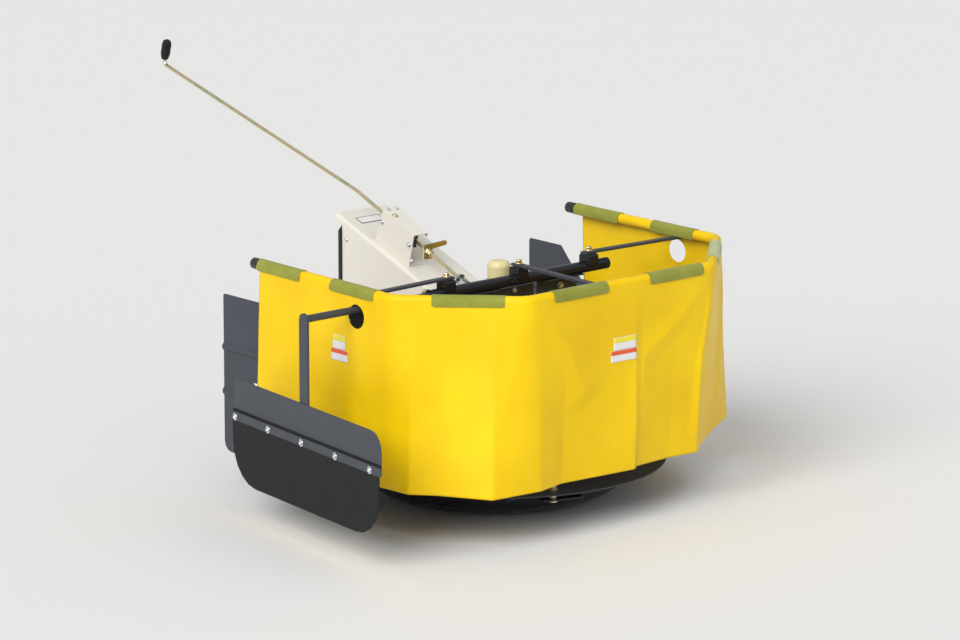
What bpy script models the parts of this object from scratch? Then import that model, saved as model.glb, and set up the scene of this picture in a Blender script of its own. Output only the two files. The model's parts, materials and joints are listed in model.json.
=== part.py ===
"""Single-disc rotary mower head for a walk-behind tractor, with a side swath board.

Metres, +Z up.  The rotor turns on the Z axis and the wear pad under it stands on z = 0.
The machine travels towards -Y; the tractor bolts to the flange at the +Y end.
"""
import math

import bmesh
import bpy
from mathutils import Matrix, Vector

GAP = 0.0003            # clearance left between pieces that touch

# Top hoop and the parts that hang from it
HOOP_Z = 0.570
HOOP_CORNERS = [(-0.489, 0.291), (-0.500, -0.224), (-0.285, -0.435),
                (0.285, -0.435), (0.500, -0.224), (0.489, 0.291)]
HOOP_R = 0.0111
HOOP_WALL = 0.0020
HOOP_BEND = 0.055
CAP_LENGTH = 0.026
CAP_WALL = 0.0018
SHEET = 0.0012          # tarpaulin
APRON_TRIM = 0.0400     # bare tube left at each end of the hoop
APRON_DROP = 0.440
APRON_FLARE = 0.012
ARM_HOLES = {"left": (-1, -0.108, 0.5135), "right": (1, -0.078, 0.518)}     # side, y, z
ARM_HOLE_R = 0.0285
TAB_WALL, TAB_DROP = 0.0014, 0.0105
# tab name: hoop side it sits on (index of its first corner), distance of both ends from that corner
TABS = {
    "tab_left_rear": (0, 0.030, 0.190),
    "tab_left_front": (0, 0.302, 0.460),
    "tab_left_corner": (1, 0.088, 0.253),
    "tab_front_left": (2, 0.073, 0.237),
    "tab_front_right": (2, 0.366, 0.533),
    "tab_right_corner": (3, 0.060, 0.234),
    "tab_right_front": (4, 0.068, 0.212),
    "tab_right_rear": (4, 0.325, 0.480),
}

# Cross tube, its saddles and the stays
CROSS_Y, CROSS_Z = -0.095, 0.526
CROSS_R, CROSS_BORE = 0.0136, 0.0112
CROSS_LEFT, CROSS_RIGHT = -0.285, 0.267
SADDLES = {"left": -0.231, "centre": -0.009, "right": 0.210}
SADDLE_LENGTH, SADDLE_WIDTH, SADDLE_FOOT = 0.031, 0.034, 0.005
STAY_RISE = 0.0040       # how much higher the stays lie on their saddles than at the hoop
STAY_WIDTH, STAY_THICK, STAY_END = 0.018, 0.006, 0.500
STAY_TOP = HOOP_Z - HOOP_R - GAP
BOLT_R = 0.005
SET_BOLT_X = -0.272
CARRIER_HALF, CARRIER_NOTCH = 0.190, 0.066

# Deck and rear side panels
DECK_TOP, DECK_THICK = 0.303, 0.003
DECK_HALF, DECK_FRONT, DECK_REAR, DECK_FLANGE = 0.4765, -0.240, 0.315, 0.060
PANEL_THICK = 0.0025
PANEL_REAR, PANEL_BEND, PANEL_FRONT = 0.419, 0.304, 0.170
PANEL_TOP, PANEL_BOTTOM = 0.474, 0.095
PANEL_RIBS = (0.347, 0.240)

# Gear case, drive line and rear flange
DRIVE_Z = 0.400
CASE_HALF, CASE_FRONT, CASE_REAR = 0.070, -0.0715, 0.125
CASE_TOP, CASE_WALL = 0.4617, 0.007
SNOUT_R, SNOUT_BORE, SNOUT_BOTTOM = 0.045, 0.034, 0.160
DRIVE_TUBE_R, DRIVE_TUBE_BORE = 0.040, 0.033
FLANGE_FRONT, FLANGE_REAR, FLANGE_HALF = 0.465, 0.474, 0.085
FLANGE_BOTTOM, FLANGE_TOP = 0.290, 0.575
LID_THICK = 0.008
BOSS_HALF, BOSS_REAR, BOSS_TOP = 0.058, 0.030, 0.503
DOME_X, DOME_TOP = 0.0125, 0.5530
COVER_HALF, COVER_SHEET, COVER_FRONT, COVER_BOTTOM = 0.080, 0.002, 0.1275, 0.400
COVER_TOP_REAR, HOOD_REAR, HOOD_BOTTOM = 0.592, 0.4885, 0.5765
SLOPE = math.radians(20.7)      # fall of the cover's top towards the front

# Bevel gears
MODULE = 0.004
GEAR_TEETH, PINION_TEETH = 26, 15
FACE_SCALE = 0.70               # inner end of the teeth over their outer end

# Rotor, knives and skid
SHAFT_R = 0.015
DISC_R, DISC_Z, DISC_THICK = 0.405, 0.083, 0.0035
KNIFE_PIN_R, KNIFE_COUNT, KNIFE_FIRST = 0.359, 3, -109.2
KNIFE_TRAIL = 92.0              # how far each knife is folded back from straight out
KNIFE_LENGTH, KNIFE_WIDTH, KNIFE_THICK, KNIFE_TAIL = 0.100, 0.040, 0.004, 0.030
KNIFE_TOP = 0.068
SKID_R, SKID_EDGE, SKID_FLOOR_R, PAD_THICK = 0.315, 0.061, 0.215, 0.0037

# Clutch rod
ROD_X, ROD_R = -0.040, 0.0045
ROD_PIN = Vector((ROD_X, 0.058, 0.4938))
ROD_SLOPE, ROD_UPPER_SLOPE = math.radians(22.0), math.radians(15.4)
ROD_BEND_AT, ROD_UPPER = 0.430, 0.778
LEVER_ARM, LEVER_LOWER = 0.050, 0.0225
SHIFT_PIN_Y = 0.0857            # pin that moves the clutch sleeve
SLEEVE_FRONT = 0.0707
CONE_MOUTH_R, CONE_DEPTH, CONE_TAPER = 0.0235, 0.0065, math.radians(15.0)
HOOK_AT = 0.149

# Swath board
ARM_R, ARM_INNER, ARM_OUTER = 0.00865, -0.100, -0.6483
BOARD_TURN = math.radians(8.0)
BAR_X, BAR_WIDTH, BAR_THICK = -0.653, 0.035, 0.006
BOARD_REAR, BOARD_FRONT = -0.3055, 0.3355
BOARD_TOP, BOARD_BOTTOM = 0.3316, 0.2346
STRIP_TOP, STRIP_BOTTOM = 0.2546, 0.2346
FLAP_BOTTOM = 0.0866
BOARD_THICK, FLAP_THICK, STRIP_THICK = 0.0025, 0.0040, 0.0025

MATERIALS = {
    "yellow_sheet": ((0.90, 0.68, 0.01), 0.45, 0.0),
    "green_tab": ((0.42, 0.48, 0.08), 0.80, 0.0),
    "slate_paint": ((0.10, 0.115, 0.145), 0.38, 0.3),
    "black_paint": ((0.02, 0.021, 0.024), 0.35, 0.3),
    "cream_paint": ((0.75, 0.72, 0.66), 0.35, 0.1),
    "ivory_plastic": ((0.75, 0.67, 0.40), 0.40, 0.0),
    "black_plastic": ((0.02, 0.02, 0.022), 0.50, 0.0),
    "zinc_yellow": ((0.72, 0.58, 0.26), 0.30, 0.9),
    "zinc_clear": ((0.70, 0.71, 0.73), 0.25, 1.0),
    "machined_steel": ((0.55, 0.56, 0.58), 0.30, 1.0),
    "cast_iron": ((0.05, 0.05, 0.055), 0.60, 0.4),
    "rubber": ((0.025, 0.025, 0.027), 0.75, 0.0),
}


# ---------------------------------------------------------------- scene helpers

def clear_scene():
    for obj in list(bpy.data.objects):
        bpy.data.objects.remove(obj, do_unlink=True)


def make_materials():
    for name, (colour, roughness, metallic) in MATERIALS.items():
        mat = bpy.data.materials.new(name)
        mat.use_nodes = True
        shader = mat.node_tree.nodes["Principled BSDF"]
        shader.inputs["Base Color"].default_value = (*colour, 1.0)
        shader.inputs["Roughness"].default_value = roughness
        shader.inputs["Metallic"].default_value = metallic


def empty(name, location=(0, 0, 0), parent=None):
    """A body: its origin is on its joint's axis."""
    obj = bpy.data.objects.new(name, None)
    obj.empty_display_size = 0.05
    obj.location = Vector(location) - (parent.matrix_world.translation if parent else Vector())
    obj.parent = parent
    bpy.context.scene.collection.objects.link(obj)
    bpy.context.view_layer.update()
    return obj


def add(name, bm, material, parent, matrix=None):
    """Turns a bmesh in world axes (or in matrix's axes) into an object under parent."""
    bmesh.ops.recalc_face_normals(bm, faces=bm.faces)
    place = matrix or Matrix.Identity(4)
    origin = parent.matrix_world.translation if parent else Vector()
    bm.transform(Matrix.Translation(-origin) @ place)
    mesh = bpy.data.meshes.new(name)
    bm.to_mesh(mesh)
    bm.free()
    mesh.shade_smooth()
    mesh.set_sharp_from_angle(angle=math.radians(35))
    obj = bpy.data.objects.new(name, mesh)
    obj.parent = parent
    if material:
        mesh.materials.append(bpy.data.materials[material])
    bpy.context.scene.collection.objects.link(obj)
    return obj


def cutter(name, bm, matrix=None):
    obj = add(name, bm, None, None, matrix)
    obj.hide_render = True
    obj.display_type = "WIRE"
    return obj


def combine(obj, other, operation="DIFFERENCE"):
    mod = obj.modifiers.new(operation.lower() + "_" + other.name, "BOOLEAN")
    mod.operation = operation
    mod.solver = "EXACT"
    mod.object = other


def axes(origin, x_axis, y_axis):
    """Matrix that puts local X and Y along the given directions."""
    x = Vector(x_axis).normalized()
    z = x.cross(Vector(y_axis)).normalized()
    y = z.cross(x)
    rows = Matrix((x, y, z)).transposed().to_4x4()
    return Matrix.Translation(Vector(origin)) @ rows


ALONG_X = axes((0, 0, 0), (0, 1, 0), (0, 0, 1))     # local Z becomes +X
ALONG_Y = axes((0, 0, 0), (0, 0, 1), (1, 0, 0))     # local Z becomes +Y


# ---------------------------------------------------------------- shape helpers

def loft(bm, rings, closed=False, cap=True):
    """Skins rings of equally many points; closed joins the last ring to the first."""
    loops = [[bm.verts.new(p) for p in ring] for ring in rings]
    pairs = list(zip(loops, loops[1:]))
    if closed:
        pairs.append((loops[-1], loops[0]))
    for low, high in pairs:
        for i in range(len(low)):
            j = (i + 1) % len(low)
            bm.faces.new((low[i], low[j], high[j], high[i]))
    if cap and not closed:
        bm.faces.new(reversed(loops[0]))
        bm.faces.new(loops[-1])
    return bm


def prism(outline, low, high):
    """Outline in local XY, extruded from z = low to z = high."""
    return loft(bmesh.new(), [[(x, y, z) for x, y in outline] for z in (low, high)])


def block(low, high):
    (x0, y0, z0), (x1, y1, z1) = low, high
    return prism([(x0, y0), (x1, y0), (x1, y1), (x0, y1)], z0, z1)


def circle(radius, sides, z=0.0, start=0.0):
    steps = [start + 2 * math.pi * i / sides for i in range(sides)]
    return [(radius * math.cos(a), radius * math.sin(a), z) for a in steps]


def turned(profile, sides=24):
    """Revolves (radius, z) points about local Z.  A profile that starts and ends on the axis
    makes a solid; any other profile is closed into a ring."""
    bm = bmesh.new()
    solid = profile[0][0] == 0.0
    body = profile[1:-1] if solid else profile
    loft(bm, [circle(r, sides, z) for r, z in body], closed=not solid, cap=False)
    if solid:
        bm.verts.ensure_lookup_table()
        for z, ring in ((profile[0][1], bm.verts[:sides]), (profile[-1][1], bm.verts[-sides:])):
            pole = bm.verts.new((0.0, 0.0, z))
            for i in range(sides):
                bm.faces.new((ring[i], ring[(i + 1) % sides], pole))
    return bm


def rod_bm(radius, low, high, sides=16):
    return turned([(0.0, low), (radius, low), (radius, high), (0.0, high)], sides)


def rounded(points, radii, steps=4):
    """Outline or path with its corners rounded; radii is one value per point, 0 for sharp."""
    result = []
    count = len(points)
    for i, point in enumerate(points):
        radius = radii[i]
        if radius == 0:
            result.append(Vector(point))
            continue
        here = Vector(point)
        to_prev = (Vector(points[i - 1]) - here).normalized()
        to_next = (Vector(points[(i + 1) % count]) - here).normalized()
        half = to_prev.angle(to_next) / 2
        centre = here + (to_prev + to_next).normalized() * (radius / math.sin(half))
        start = here + to_prev * (radius / math.tan(half)) - centre
        end = here + to_next * (radius / math.tan(half)) - centre
        turn = start.angle(end)
        for k in range(steps + 1):
            f = k / steps
            arc = (start * math.sin((1 - f) * turn) + end * math.sin(f * turn)) / math.sin(turn)
            result.append(centre + arc)
    return result


def arc(radius, first, last, steps, centre=(0.0, 0.0)):
    """Points on an arc, angles in degrees."""
    points = []
    for k in range(steps + 1):
        angle = math.radians(first + (last - first) * k / steps)
        points.append((centre[0] + radius * math.cos(angle), centre[1] + radius * math.sin(angle)))
    return points


def tangents(path):
    steps = [(b - a).normalized() for a, b in zip(path, path[1:])]
    return ([steps[0]] + [(a + b).normalized() for a, b in zip(steps, steps[1:])] + [steps[-1]],
            steps)


def sweep_level(path, section):
    """Sweeps a closed (outward, z) section along a level path; outward is to the path's right."""
    mean, steps = tangents(path)
    rings = []
    for i, point in enumerate(path):
        tangent = mean[i]
        mitre = 1.0 / tangent.dot(steps[min(i, len(steps) - 1)])
        out = Vector((tangent.y, -tangent.x, 0.0)) * mitre
        rings.append([point + out * o + Vector((0, 0, z)) for o, z in section])
    return loft(bmesh.new(), rings)


def pipe(path, radius, bore=0.0, sides=12):
    """Round tube or bar along a path that never turns back on itself."""
    mean, _ = tangents(path)
    side = Vector((1, 0, 0)) if abs(mean[0].x) < 0.7 else Vector((0, 0, 1))
    outer, inner = [], []
    for point, tangent in zip(path, mean):
        side = (side - tangent * side.dot(tangent)).normalized()
        up = tangent.cross(side)
        for rings, r in ((outer, radius), (inner, bore)):
            rings.append([point + side * x * r + up * y * r for x, y, _ in circle(1.0, sides)])
    if bore == 0.0:
        return loft(bmesh.new(), outer)
    return loft(bmesh.new(), outer + inner[::-1], closed=True)


def hexagon(across_flats):
    return [(x, y) for x, y, _ in circle(across_flats / math.sqrt(3), 6)]


def hex_bolt(flats, head, washer_r, washer, shank_r, shank):
    """Hex head above z = 0 on a washer, with its shank below."""
    bm = bmesh.new()
    radius = flats / math.sqrt(3)
    rings = [circle(shank_r, 12, -shank), circle(shank_r, 12, 0.0),
             circle(washer_r, 12, 0.0), circle(washer_r, 12, washer)]
    corner = [(radius if i % 2 == 0 else flats / 2) for i in range(12)]
    unit = circle(1.0, 12)
    for scale, z in ((1.0, washer), (1.0, washer + head * 0.85), (0.88, washer + head)):
        rings.append([(x * r * scale, y * r * scale, z) for (x, y, _), r in zip(unit, corner)])
    return loft(bm, rings)


# ---------------------------------------------------------------- hoop, apron and tabs

def hoop_points():
    return [Vector((x, y, HOOP_Z)) for x, y in HOOP_CORNERS]


def hoop_path(trim=0.0):
    corners = hoop_points()
    for end, inner in ((0, 1), (-1, -2)):
        corners[end] = corners[end] + (corners[inner] - corners[end]).normalized() * trim
    return rounded(corners, [0.0] + [HOOP_BEND] * 4 + [0.0])


def make_hoop(chassis):
    tube_trim = CAP_WALL + 0.004
    add("hoop_tube", pipe(hoop_path(tube_trim), HOOP_R, HOOP_R - HOOP_WALL),
        "slate_paint", chassis)
    inner, outer = HOOP_R + GAP, HOOP_R + GAP + CAP_WALL
    profile = [(0.0, 0.0), (outer * 0.8, 0.0), (outer, 0.003), (outer, CAP_LENGTH),
               (inner, CAP_LENGTH), (inner, CAP_WALL + 0.0035), (0.0, CAP_WALL + 0.0035)]
    corners = hoop_points()
    for name, end, nxt in (("left", 0, 1), ("right", -1, -2)):
        into = corners[nxt] - corners[end]
        add("hoop_cap_" + name, turned(profile, 16), "black_plastic", chassis,
            axes(corners[end], (0, 0, 1), Vector((0, 0, 1)).cross(into) * -1))


def make_apron(chassis):
    inner, outer = HOOP_R + GAP, HOOP_R + GAP + SHEET
    foot = APRON_FLARE
    section = [(outer + foot, -APRON_DROP)] + arc(outer, 0, 180, 8) + [(-outer, -0.008)]
    section += [(-inner, -0.008)] + arc(inner, 180, 0, 8) + [(inner + foot, -APRON_DROP)]
    apron = add("apron", sweep_level(hoop_path(APRON_TRIM), section), "yellow_sheet", chassis)
    for name, (side, y, z) in ARM_HOLES.items():
        hole = cutter("arm_hole_cutter_" + name, rod_bm(ARM_HOLE_R, -0.10, 0.10, 24),
                      Matrix.Translation((side * 0.5, y, z)) @ ALONG_X)
        combine(apron, hole)
    lowest = HOOP_R + 2 * GAP + SHEET
    outside = lowest + TAB_WALL
    wrap = [(outside + 0.0004, -TAB_DROP)] + arc(outside, 0, 180, 8) + [(-outside, -0.0095)]
    wrap += [(-lowest, -0.0095)] + arc(lowest, 180, 0, 8) + [(lowest + 0.0004, -TAB_DROP)]
    corners = hoop_points()
    for name, (side, first, last) in TABS.items():
        start, along = corners[side], (corners[side + 1] - corners[side]).normalized()
        path = [start + along * first, start + along * last]
        add(name, sweep_level(path, wrap), "green_tab", chassis)


# ---------------------------------------------------------------- cross tube and stays

def make_cross_tube(chassis):
    ends = [Vector((x, CROSS_Y, CROSS_Z)) for x in (CROSS_LEFT, CROSS_RIGHT)]
    tube = add("cross_tube", pipe(ends, CROSS_R, CROSS_BORE, 20), "black_paint", chassis)
    hole = cutter("set_bolt_cutter", rod_bm(BOLT_R + GAP, 0.0, 0.03, 12),
                  Matrix.Translation((SET_BOLT_X, CROSS_Y, CROSS_Z)) @ ALONG_Y)
    combine(tube, hole)
    add("arm_set_bolt", hex_bolt(0.016, 0.007, 0.0115, 0.009, BOLT_R, 0.0055), "zinc_yellow",
        chassis,
        Matrix.Translation((SET_BOLT_X, CROSS_Y + CROSS_R + 0.001, CROSS_Z)) @ ALONG_Y)

    stay_low = STAY_TOP - STAY_THICK
    saddle_top = stay_low + STAY_RISE - GAP
    half, tube_r = SADDLE_WIDTH / 2, CROSS_R + GAP
    top = saddle_top - CROSS_Z
    corners = [(-half, SADDLE_FOOT, 0), (-half, top, 0), (half, top, 0), (half, SADDLE_FOOT, 0)]
    outline = [(p.x, p.y) for p in rounded(corners, [0, 0.006, 0.006, 0], 3)]
    lap = math.degrees(math.asin(SADDLE_FOOT / tube_r))
    outline += arc(tube_r, lap, 180 - lap, 10)
    # each stay: matrix of its length (local X, from the hoop), its length, its middle at the saddle
    reach = SADDLE_LENGTH / 2 + 0.003
    middle = SADDLES["centre"]
    lengths = {
        "left": (axes((-STAY_END, CROSS_Y, 0), (1, 0, 0), (0, 0, 1)),
                 STAY_END + SADDLES["left"]),
        "right": (axes((STAY_END, CROSS_Y, 0), (-1, 0, 0), (0, 0, 1)),
                  STAY_END - SADDLES["right"]),
        "centre": (axes((middle, HOOP_CORNERS[2][1] - 0.002, 0), (0, 1, 0), (0, 0, 1)),
                   CROSS_Y - HOOP_CORNERS[2][1] + 0.002),
    }
    for name, x in SADDLES.items():
        saddle = add("saddle_" + name, prism(outline, -SADDLE_LENGTH / 2, SADDLE_LENGTH / 2),
                     "black_paint", chassis, Matrix.Translation((x, CROSS_Y, CROSS_Z)) @ ALONG_X)
        place, length = lengths[name]
        flat, lift = length - reach, STAY_RISE
        side = [(0, stay_low), (flat, stay_low + lift), (length + reach, stay_low + lift),
                (length + reach, STAY_TOP + lift), (flat, STAY_TOP + lift), (0, STAY_TOP)]
        stay = add("stay_" + name, prism(side, -STAY_WIDTH / 2, STAY_WIDTH / 2),
                   "slate_paint", chassis, place)
        hole = cutter("bolt_cutter_" + name, rod_bm(BOLT_R + GAP, 0.0, 0.05, 12),
                      Matrix.Translation((x, CROSS_Y, CROSS_Z + tube_r + 0.002)))
        combine(saddle, hole)
        combine(stay, hole)
        add("saddle_bolt_" + name, hex_bolt(0.013, 0.0080, 0.0095, 0.0020, BOLT_R, 0.0155),
            "zinc_yellow", chassis, Matrix.Translation((x, CROSS_Y, STAY_TOP + STAY_RISE + GAP)))


def make_carrier(chassis):
    """Folded plate that carries the cross tube on the gear case: two ears joined by a bridge."""
    front, back, lip = -0.0750, CASE_FRONT - GAP, CROSS_Y - 0.008
    top, under = CROSS_Z - CROSS_R - GAP, CROSS_Z - CROSS_R - GAP - 0.003
    side = [(back, 0.360), (back, top), (lip, top), (lip, under), (front, under), (front, 0.360)]
    carrier = add("tube_carrier", prism(side, -CARRIER_HALF, CARRIER_HALF), "slate_paint", chassis,
                  ALONG_X)
    notch = rounded([(-CARRIER_NOTCH, 0.430, 0), (CARRIER_NOTCH, 0.430, 0),
                     (CARRIER_NOTCH, 0.56, 0), (-CARRIER_NOTCH, 0.56, 0)], [0.015, 0.015, 0, 0], 3)
    combine(carrier, cutter("carrier_cutter", prism([(p.x, p.y) for p in notch], 0.05, 0.15),
                            axes((0, 0, 0), (1, 0, 0), (0, 0, 1))))


# ---------------------------------------------------------------- deck and side panels

def make_deck(chassis):
    low, inner = DECK_TOP - DECK_THICK, DECK_HALF - DECK_THICK
    foot = DECK_TOP - DECK_FLANGE
    section = [(-DECK_HALF, foot), (-inner, foot), (-inner, low), (inner, low), (inner, foot),
               (DECK_HALF, foot), (DECK_HALF, DECK_TOP), (-DECK_HALF, DECK_TOP)]
    deck = add("deck", prism(section, -DECK_REAR, -DECK_FRONT),
               "slate_paint", chassis, axes((0, 0, 0), (1, 0, 0), (0, 0, 1)))
    combine(deck, cutter("snout_cutter", rod_bm(SNOUT_R + 0.003, 0.25, 0.35, 32)))


def make_panels(chassis):
    """Rear side panel: pressed ribs along it, rounded rear corner, top cut away in front."""
    rib = 0.005
    outer = [(0.0, PANEL_BOTTOM - 0.01)]
    for z in sorted(PANEL_RIBS):
        outer += [(0.0, z - 0.010), (rib, z - 0.004), (rib, z + 0.004), (0.0, z + 0.010)]
    outer.append((0.0, PANEL_TOP + 0.01))
    inner = [(x - PANEL_THICK, z) for x, z in outer[::-1]]
    for name, side, shoulder in (("left", -1, 0.255), ("right", 1, PANEL_BEND)):
        corners = [(PANEL_REAR, PANEL_TOP), (PANEL_REAR, PANEL_BOTTOM), (PANEL_BEND, PANEL_BOTTOM),
                   (PANEL_FRONT, 0.235), (PANEL_FRONT, 0.345), (shoulder - 0.042, 0.430),
                   (shoulder, PANEL_TOP)]
        outline = [(p.x, p.y) for p in rounded([(y, z, 0) for y, z in corners],
                                               [0.006, 0.025, 0, 0.01, 0.01, 0, 0], 3)]
        face = side * (DECK_HALF + GAP + PANEL_THICK)
        bm = prism([(face + side * x, z) for x, z in outer + inner], -0.45, -0.15)
        panel = add("side_panel_" + name, bm, "slate_paint", chassis,
                    axes((0, 0, 0), (1, 0, 0), (0, 0, 1)))
        shape = cutter("panel_shape_" + name, prism(outline, -0.03, 0.03),
                       Matrix.Translation((face, 0, 0)) @ ALONG_X)
        combine(panel, shape, "INTERSECT")


# ---------------------------------------------------------------- gear case and drive line

def make_gear_case(chassis):
    floor_z = DECK_TOP + GAP
    case = add("gear_case", block((-CASE_HALF, CASE_FRONT, floor_z), (CASE_HALF, CASE_REAR, CASE_TOP)),
               "cast_iron", chassis)
    drive_line = Matrix.Translation((0, 0, DRIVE_Z)) @ ALONG_Y
    combine(case, cutter("snout_shape", rod_bm(SNOUT_R, SNOUT_BOTTOM, floor_z + 0.003, 32)), "UNION")
    combine(case, cutter("drive_tube_shape", rod_bm(DRIVE_TUBE_R, CASE_REAR - 0.003,
                                                    FLANGE_FRONT - GAP, 32), drive_line), "UNION")
    inside = CASE_HALF - CASE_WALL
    combine(case, cutter("case_inside", block((-inside, CASE_FRONT + CASE_WALL, floor_z + CASE_WALL),
                                              (inside, CASE_REAR - CASE_WALL, CASE_TOP + 0.01))))
    combine(case, cutter("snout_bore", rod_bm(SNOUT_BORE, SNOUT_BOTTOM - 0.01, 0.33, 32)))
    combine(case, cutter("drive_tube_bore", rod_bm(DRIVE_TUBE_BORE, 0.10, 0.48, 32), drive_line))
    pivot = lever_pivot()
    combine(case, cutter("lever_pivot_bore", rod_bm(0.0055, -0.08, -0.05, 12),
                         Matrix.Translation((0, pivot.y, pivot.z)) @ ALONG_X))

    lid_low = CASE_TOP + GAP
    lid_shape = rounded([(-CASE_HALF, CASE_FRONT, 0), (CASE_HALF, CASE_FRONT, 0),
                         (CASE_HALF, CASE_REAR, 0), (-CASE_HALF, CASE_REAR, 0)], [0.008] * 4, 3)
    lid = add("gear_case_lid", prism([(p.x, p.y) for p in lid_shape], lid_low, lid_low + LID_THICK),
              "cast_iron", chassis)
    boss = block((-BOSS_HALF, CASE_FRONT, lid_low + 0.002), (BOSS_HALF, BOSS_REAR, BOSS_TOP))
    combine(lid, cutter("boss_shape", boss), "UNION")
    combine(lid, cutter("lever_slot", block((-0.048, 0.056, 0.44), (-0.032, 0.094, 0.49))))
    low, wide, crown = BOSS_TOP + GAP, 0.0275, 0.0145
    shoulder = arc(crown, 0, 75, 5, (wide - crown, DOME_TOP - 0.0007 - crown))
    dome = [(0.0, low), (wide - 0.0005, low)] + shoulder + [(0.0, DOME_TOP)]
    add("lid_cap", turned(dome, 24), "ivory_plastic", chassis,
        Matrix.Translation((DOME_X, 0, 0)))

    for name, low in (("bearing_upper", 0.284), ("bearing_lower", 0.168)):
        ring = [(SHAFT_R + GAP, low), (SNOUT_BORE - GAP, low),
                (SNOUT_BORE - GAP, low + 0.018), (SHAFT_R + GAP, low + 0.018)]
        add(name, turned(ring, 24), "machined_steel", chassis)


def make_flange_and_cover(chassis):
    half, cut = FLANGE_HALF, 0.014
    outline = [(-half, FLANGE_BOTTOM), (half, FLANGE_BOTTOM), (half, FLANGE_TOP - cut),
               (half - cut, FLANGE_TOP), (-half + cut, FLANGE_TOP), (-half, FLANGE_TOP - cut)]
    upright = axes((0, 0, 0), (1, 0, 0), (0, 0, 1))      # local XY is XZ, local Z is -Y
    flange = add("rear_flange", prism(outline, -FLANGE_REAR, -FLANGE_FRONT), "black_paint", chassis,
                 upright)
    combine(flange, cutter("flange_bore", rod_bm(0.035, 0.45, 0.49, 32),
                           Matrix.Translation((0, 0, DRIVE_Z)) @ ALONG_Y))

    rear = FLANGE_FRONT - GAP
    fall = math.tan(SLOPE)

    def top(y):
        return COVER_TOP_REAR - (rear - y) * fall

    def soften(bm, offset):
        """Rounds the two long top edges of a cover shape."""
        long_edges = [e for e in bm.edges if min(v.co.y for v in e.verts) > top(COVER_FRONT) - 0.01
                      and abs(e.verts[0].co.x - e.verts[1].co.x) > 0.2]
        bmesh.ops.bevel(bm, geom=long_edges, offset=offset, segments=3, affect="EDGES",
                        profile=0.5)

    outer = [(COVER_FRONT, COVER_BOTTOM), (rear, COVER_BOTTOM), (rear, HOOD_BOTTOM),
             (HOOD_REAR, HOOD_BOTTOM), (HOOD_REAR, top(HOOD_REAR)), (COVER_FRONT, top(COVER_FRONT))]
    cover_bm = prism(outer, -COVER_HALF, COVER_HALF)
    soften(cover_bm, 0.008)
    cover = add("drive_cover", cover_bm, "cream_paint", chassis, ALONG_X)
    front, down = COVER_FRONT + COVER_SHEET, COVER_SHEET / math.cos(SLOPE)
    end = HOOD_REAR + 0.01
    inner = [(front, COVER_BOTTOM - 0.01), (end, COVER_BOTTOM - 0.01),
             (end, top(end) - down), (front, top(front) - down)]
    inner_half = COVER_HALF - COVER_SHEET
    inner_bm = prism(inner, -inner_half, inner_half)
    soften(inner_bm, 0.006)
    combine(cover, cutter("cover_inside", inner_bm, ALONG_X))
    combine(cover, cutter("cover_tube_hole", rod_bm(DRIVE_TUBE_R + GAP, 0.11, 0.14, 32),
                          Matrix.Translation((0, 0, DRIVE_Z)) @ ALONG_Y))


def bevel_gear(teeth, mate_teeth, tip_half, root_half, hub_back, hub_r, bore, phase):
    """Straight bevel gear with its apex at the origin and its back towards local +Z."""
    pitch_r, reach = teeth * MODULE / 2, mate_teeth * MODULE / 2
    cone = math.atan2(pitch_r, reach)
    tip, root = MODULE, -1.25 * MODULE

    def rim(scale):
        ring = []
        for k in range(teeth):
            middle = phase + 2 * math.pi * k / teeth
            for height, offset in ((root, -root_half), (tip, -tip_half),
                                   (tip, tip_half), (root, root_half)):
                r = (pitch_r + height * math.cos(cone)) * scale
                z = (reach - height * math.sin(cone)) * scale
                a = middle + math.radians(offset)
                ring.append((r * math.cos(a), r * math.sin(a), z))
        return ring

    def round_ring(radius, z):
        return [(radius * math.cos(a), radius * math.sin(a), z)
                for a in (math.atan2(y, x) for x, y, _ in rim(1.0))]

    inner_z = (reach - root * math.sin(cone)) * FACE_SCALE
    outer_z = reach - root * math.sin(cone) + 0.002
    rings = [round_ring(bore, inner_z), rim(FACE_SCALE), rim(1.0), round_ring(hub_r, outer_z),
             round_ring(hub_r, hub_back), round_ring(bore, hub_back)]
    return loft(bmesh.new(), rings, closed=True)


def lever_pivot():
    """The clutch lever's pivot, square to the rod below its pin."""
    across = Vector((0, -math.sin(ROD_SLOPE), math.cos(ROD_SLOPE)))
    return ROD_PIN - across * LEVER_ARM


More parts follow.
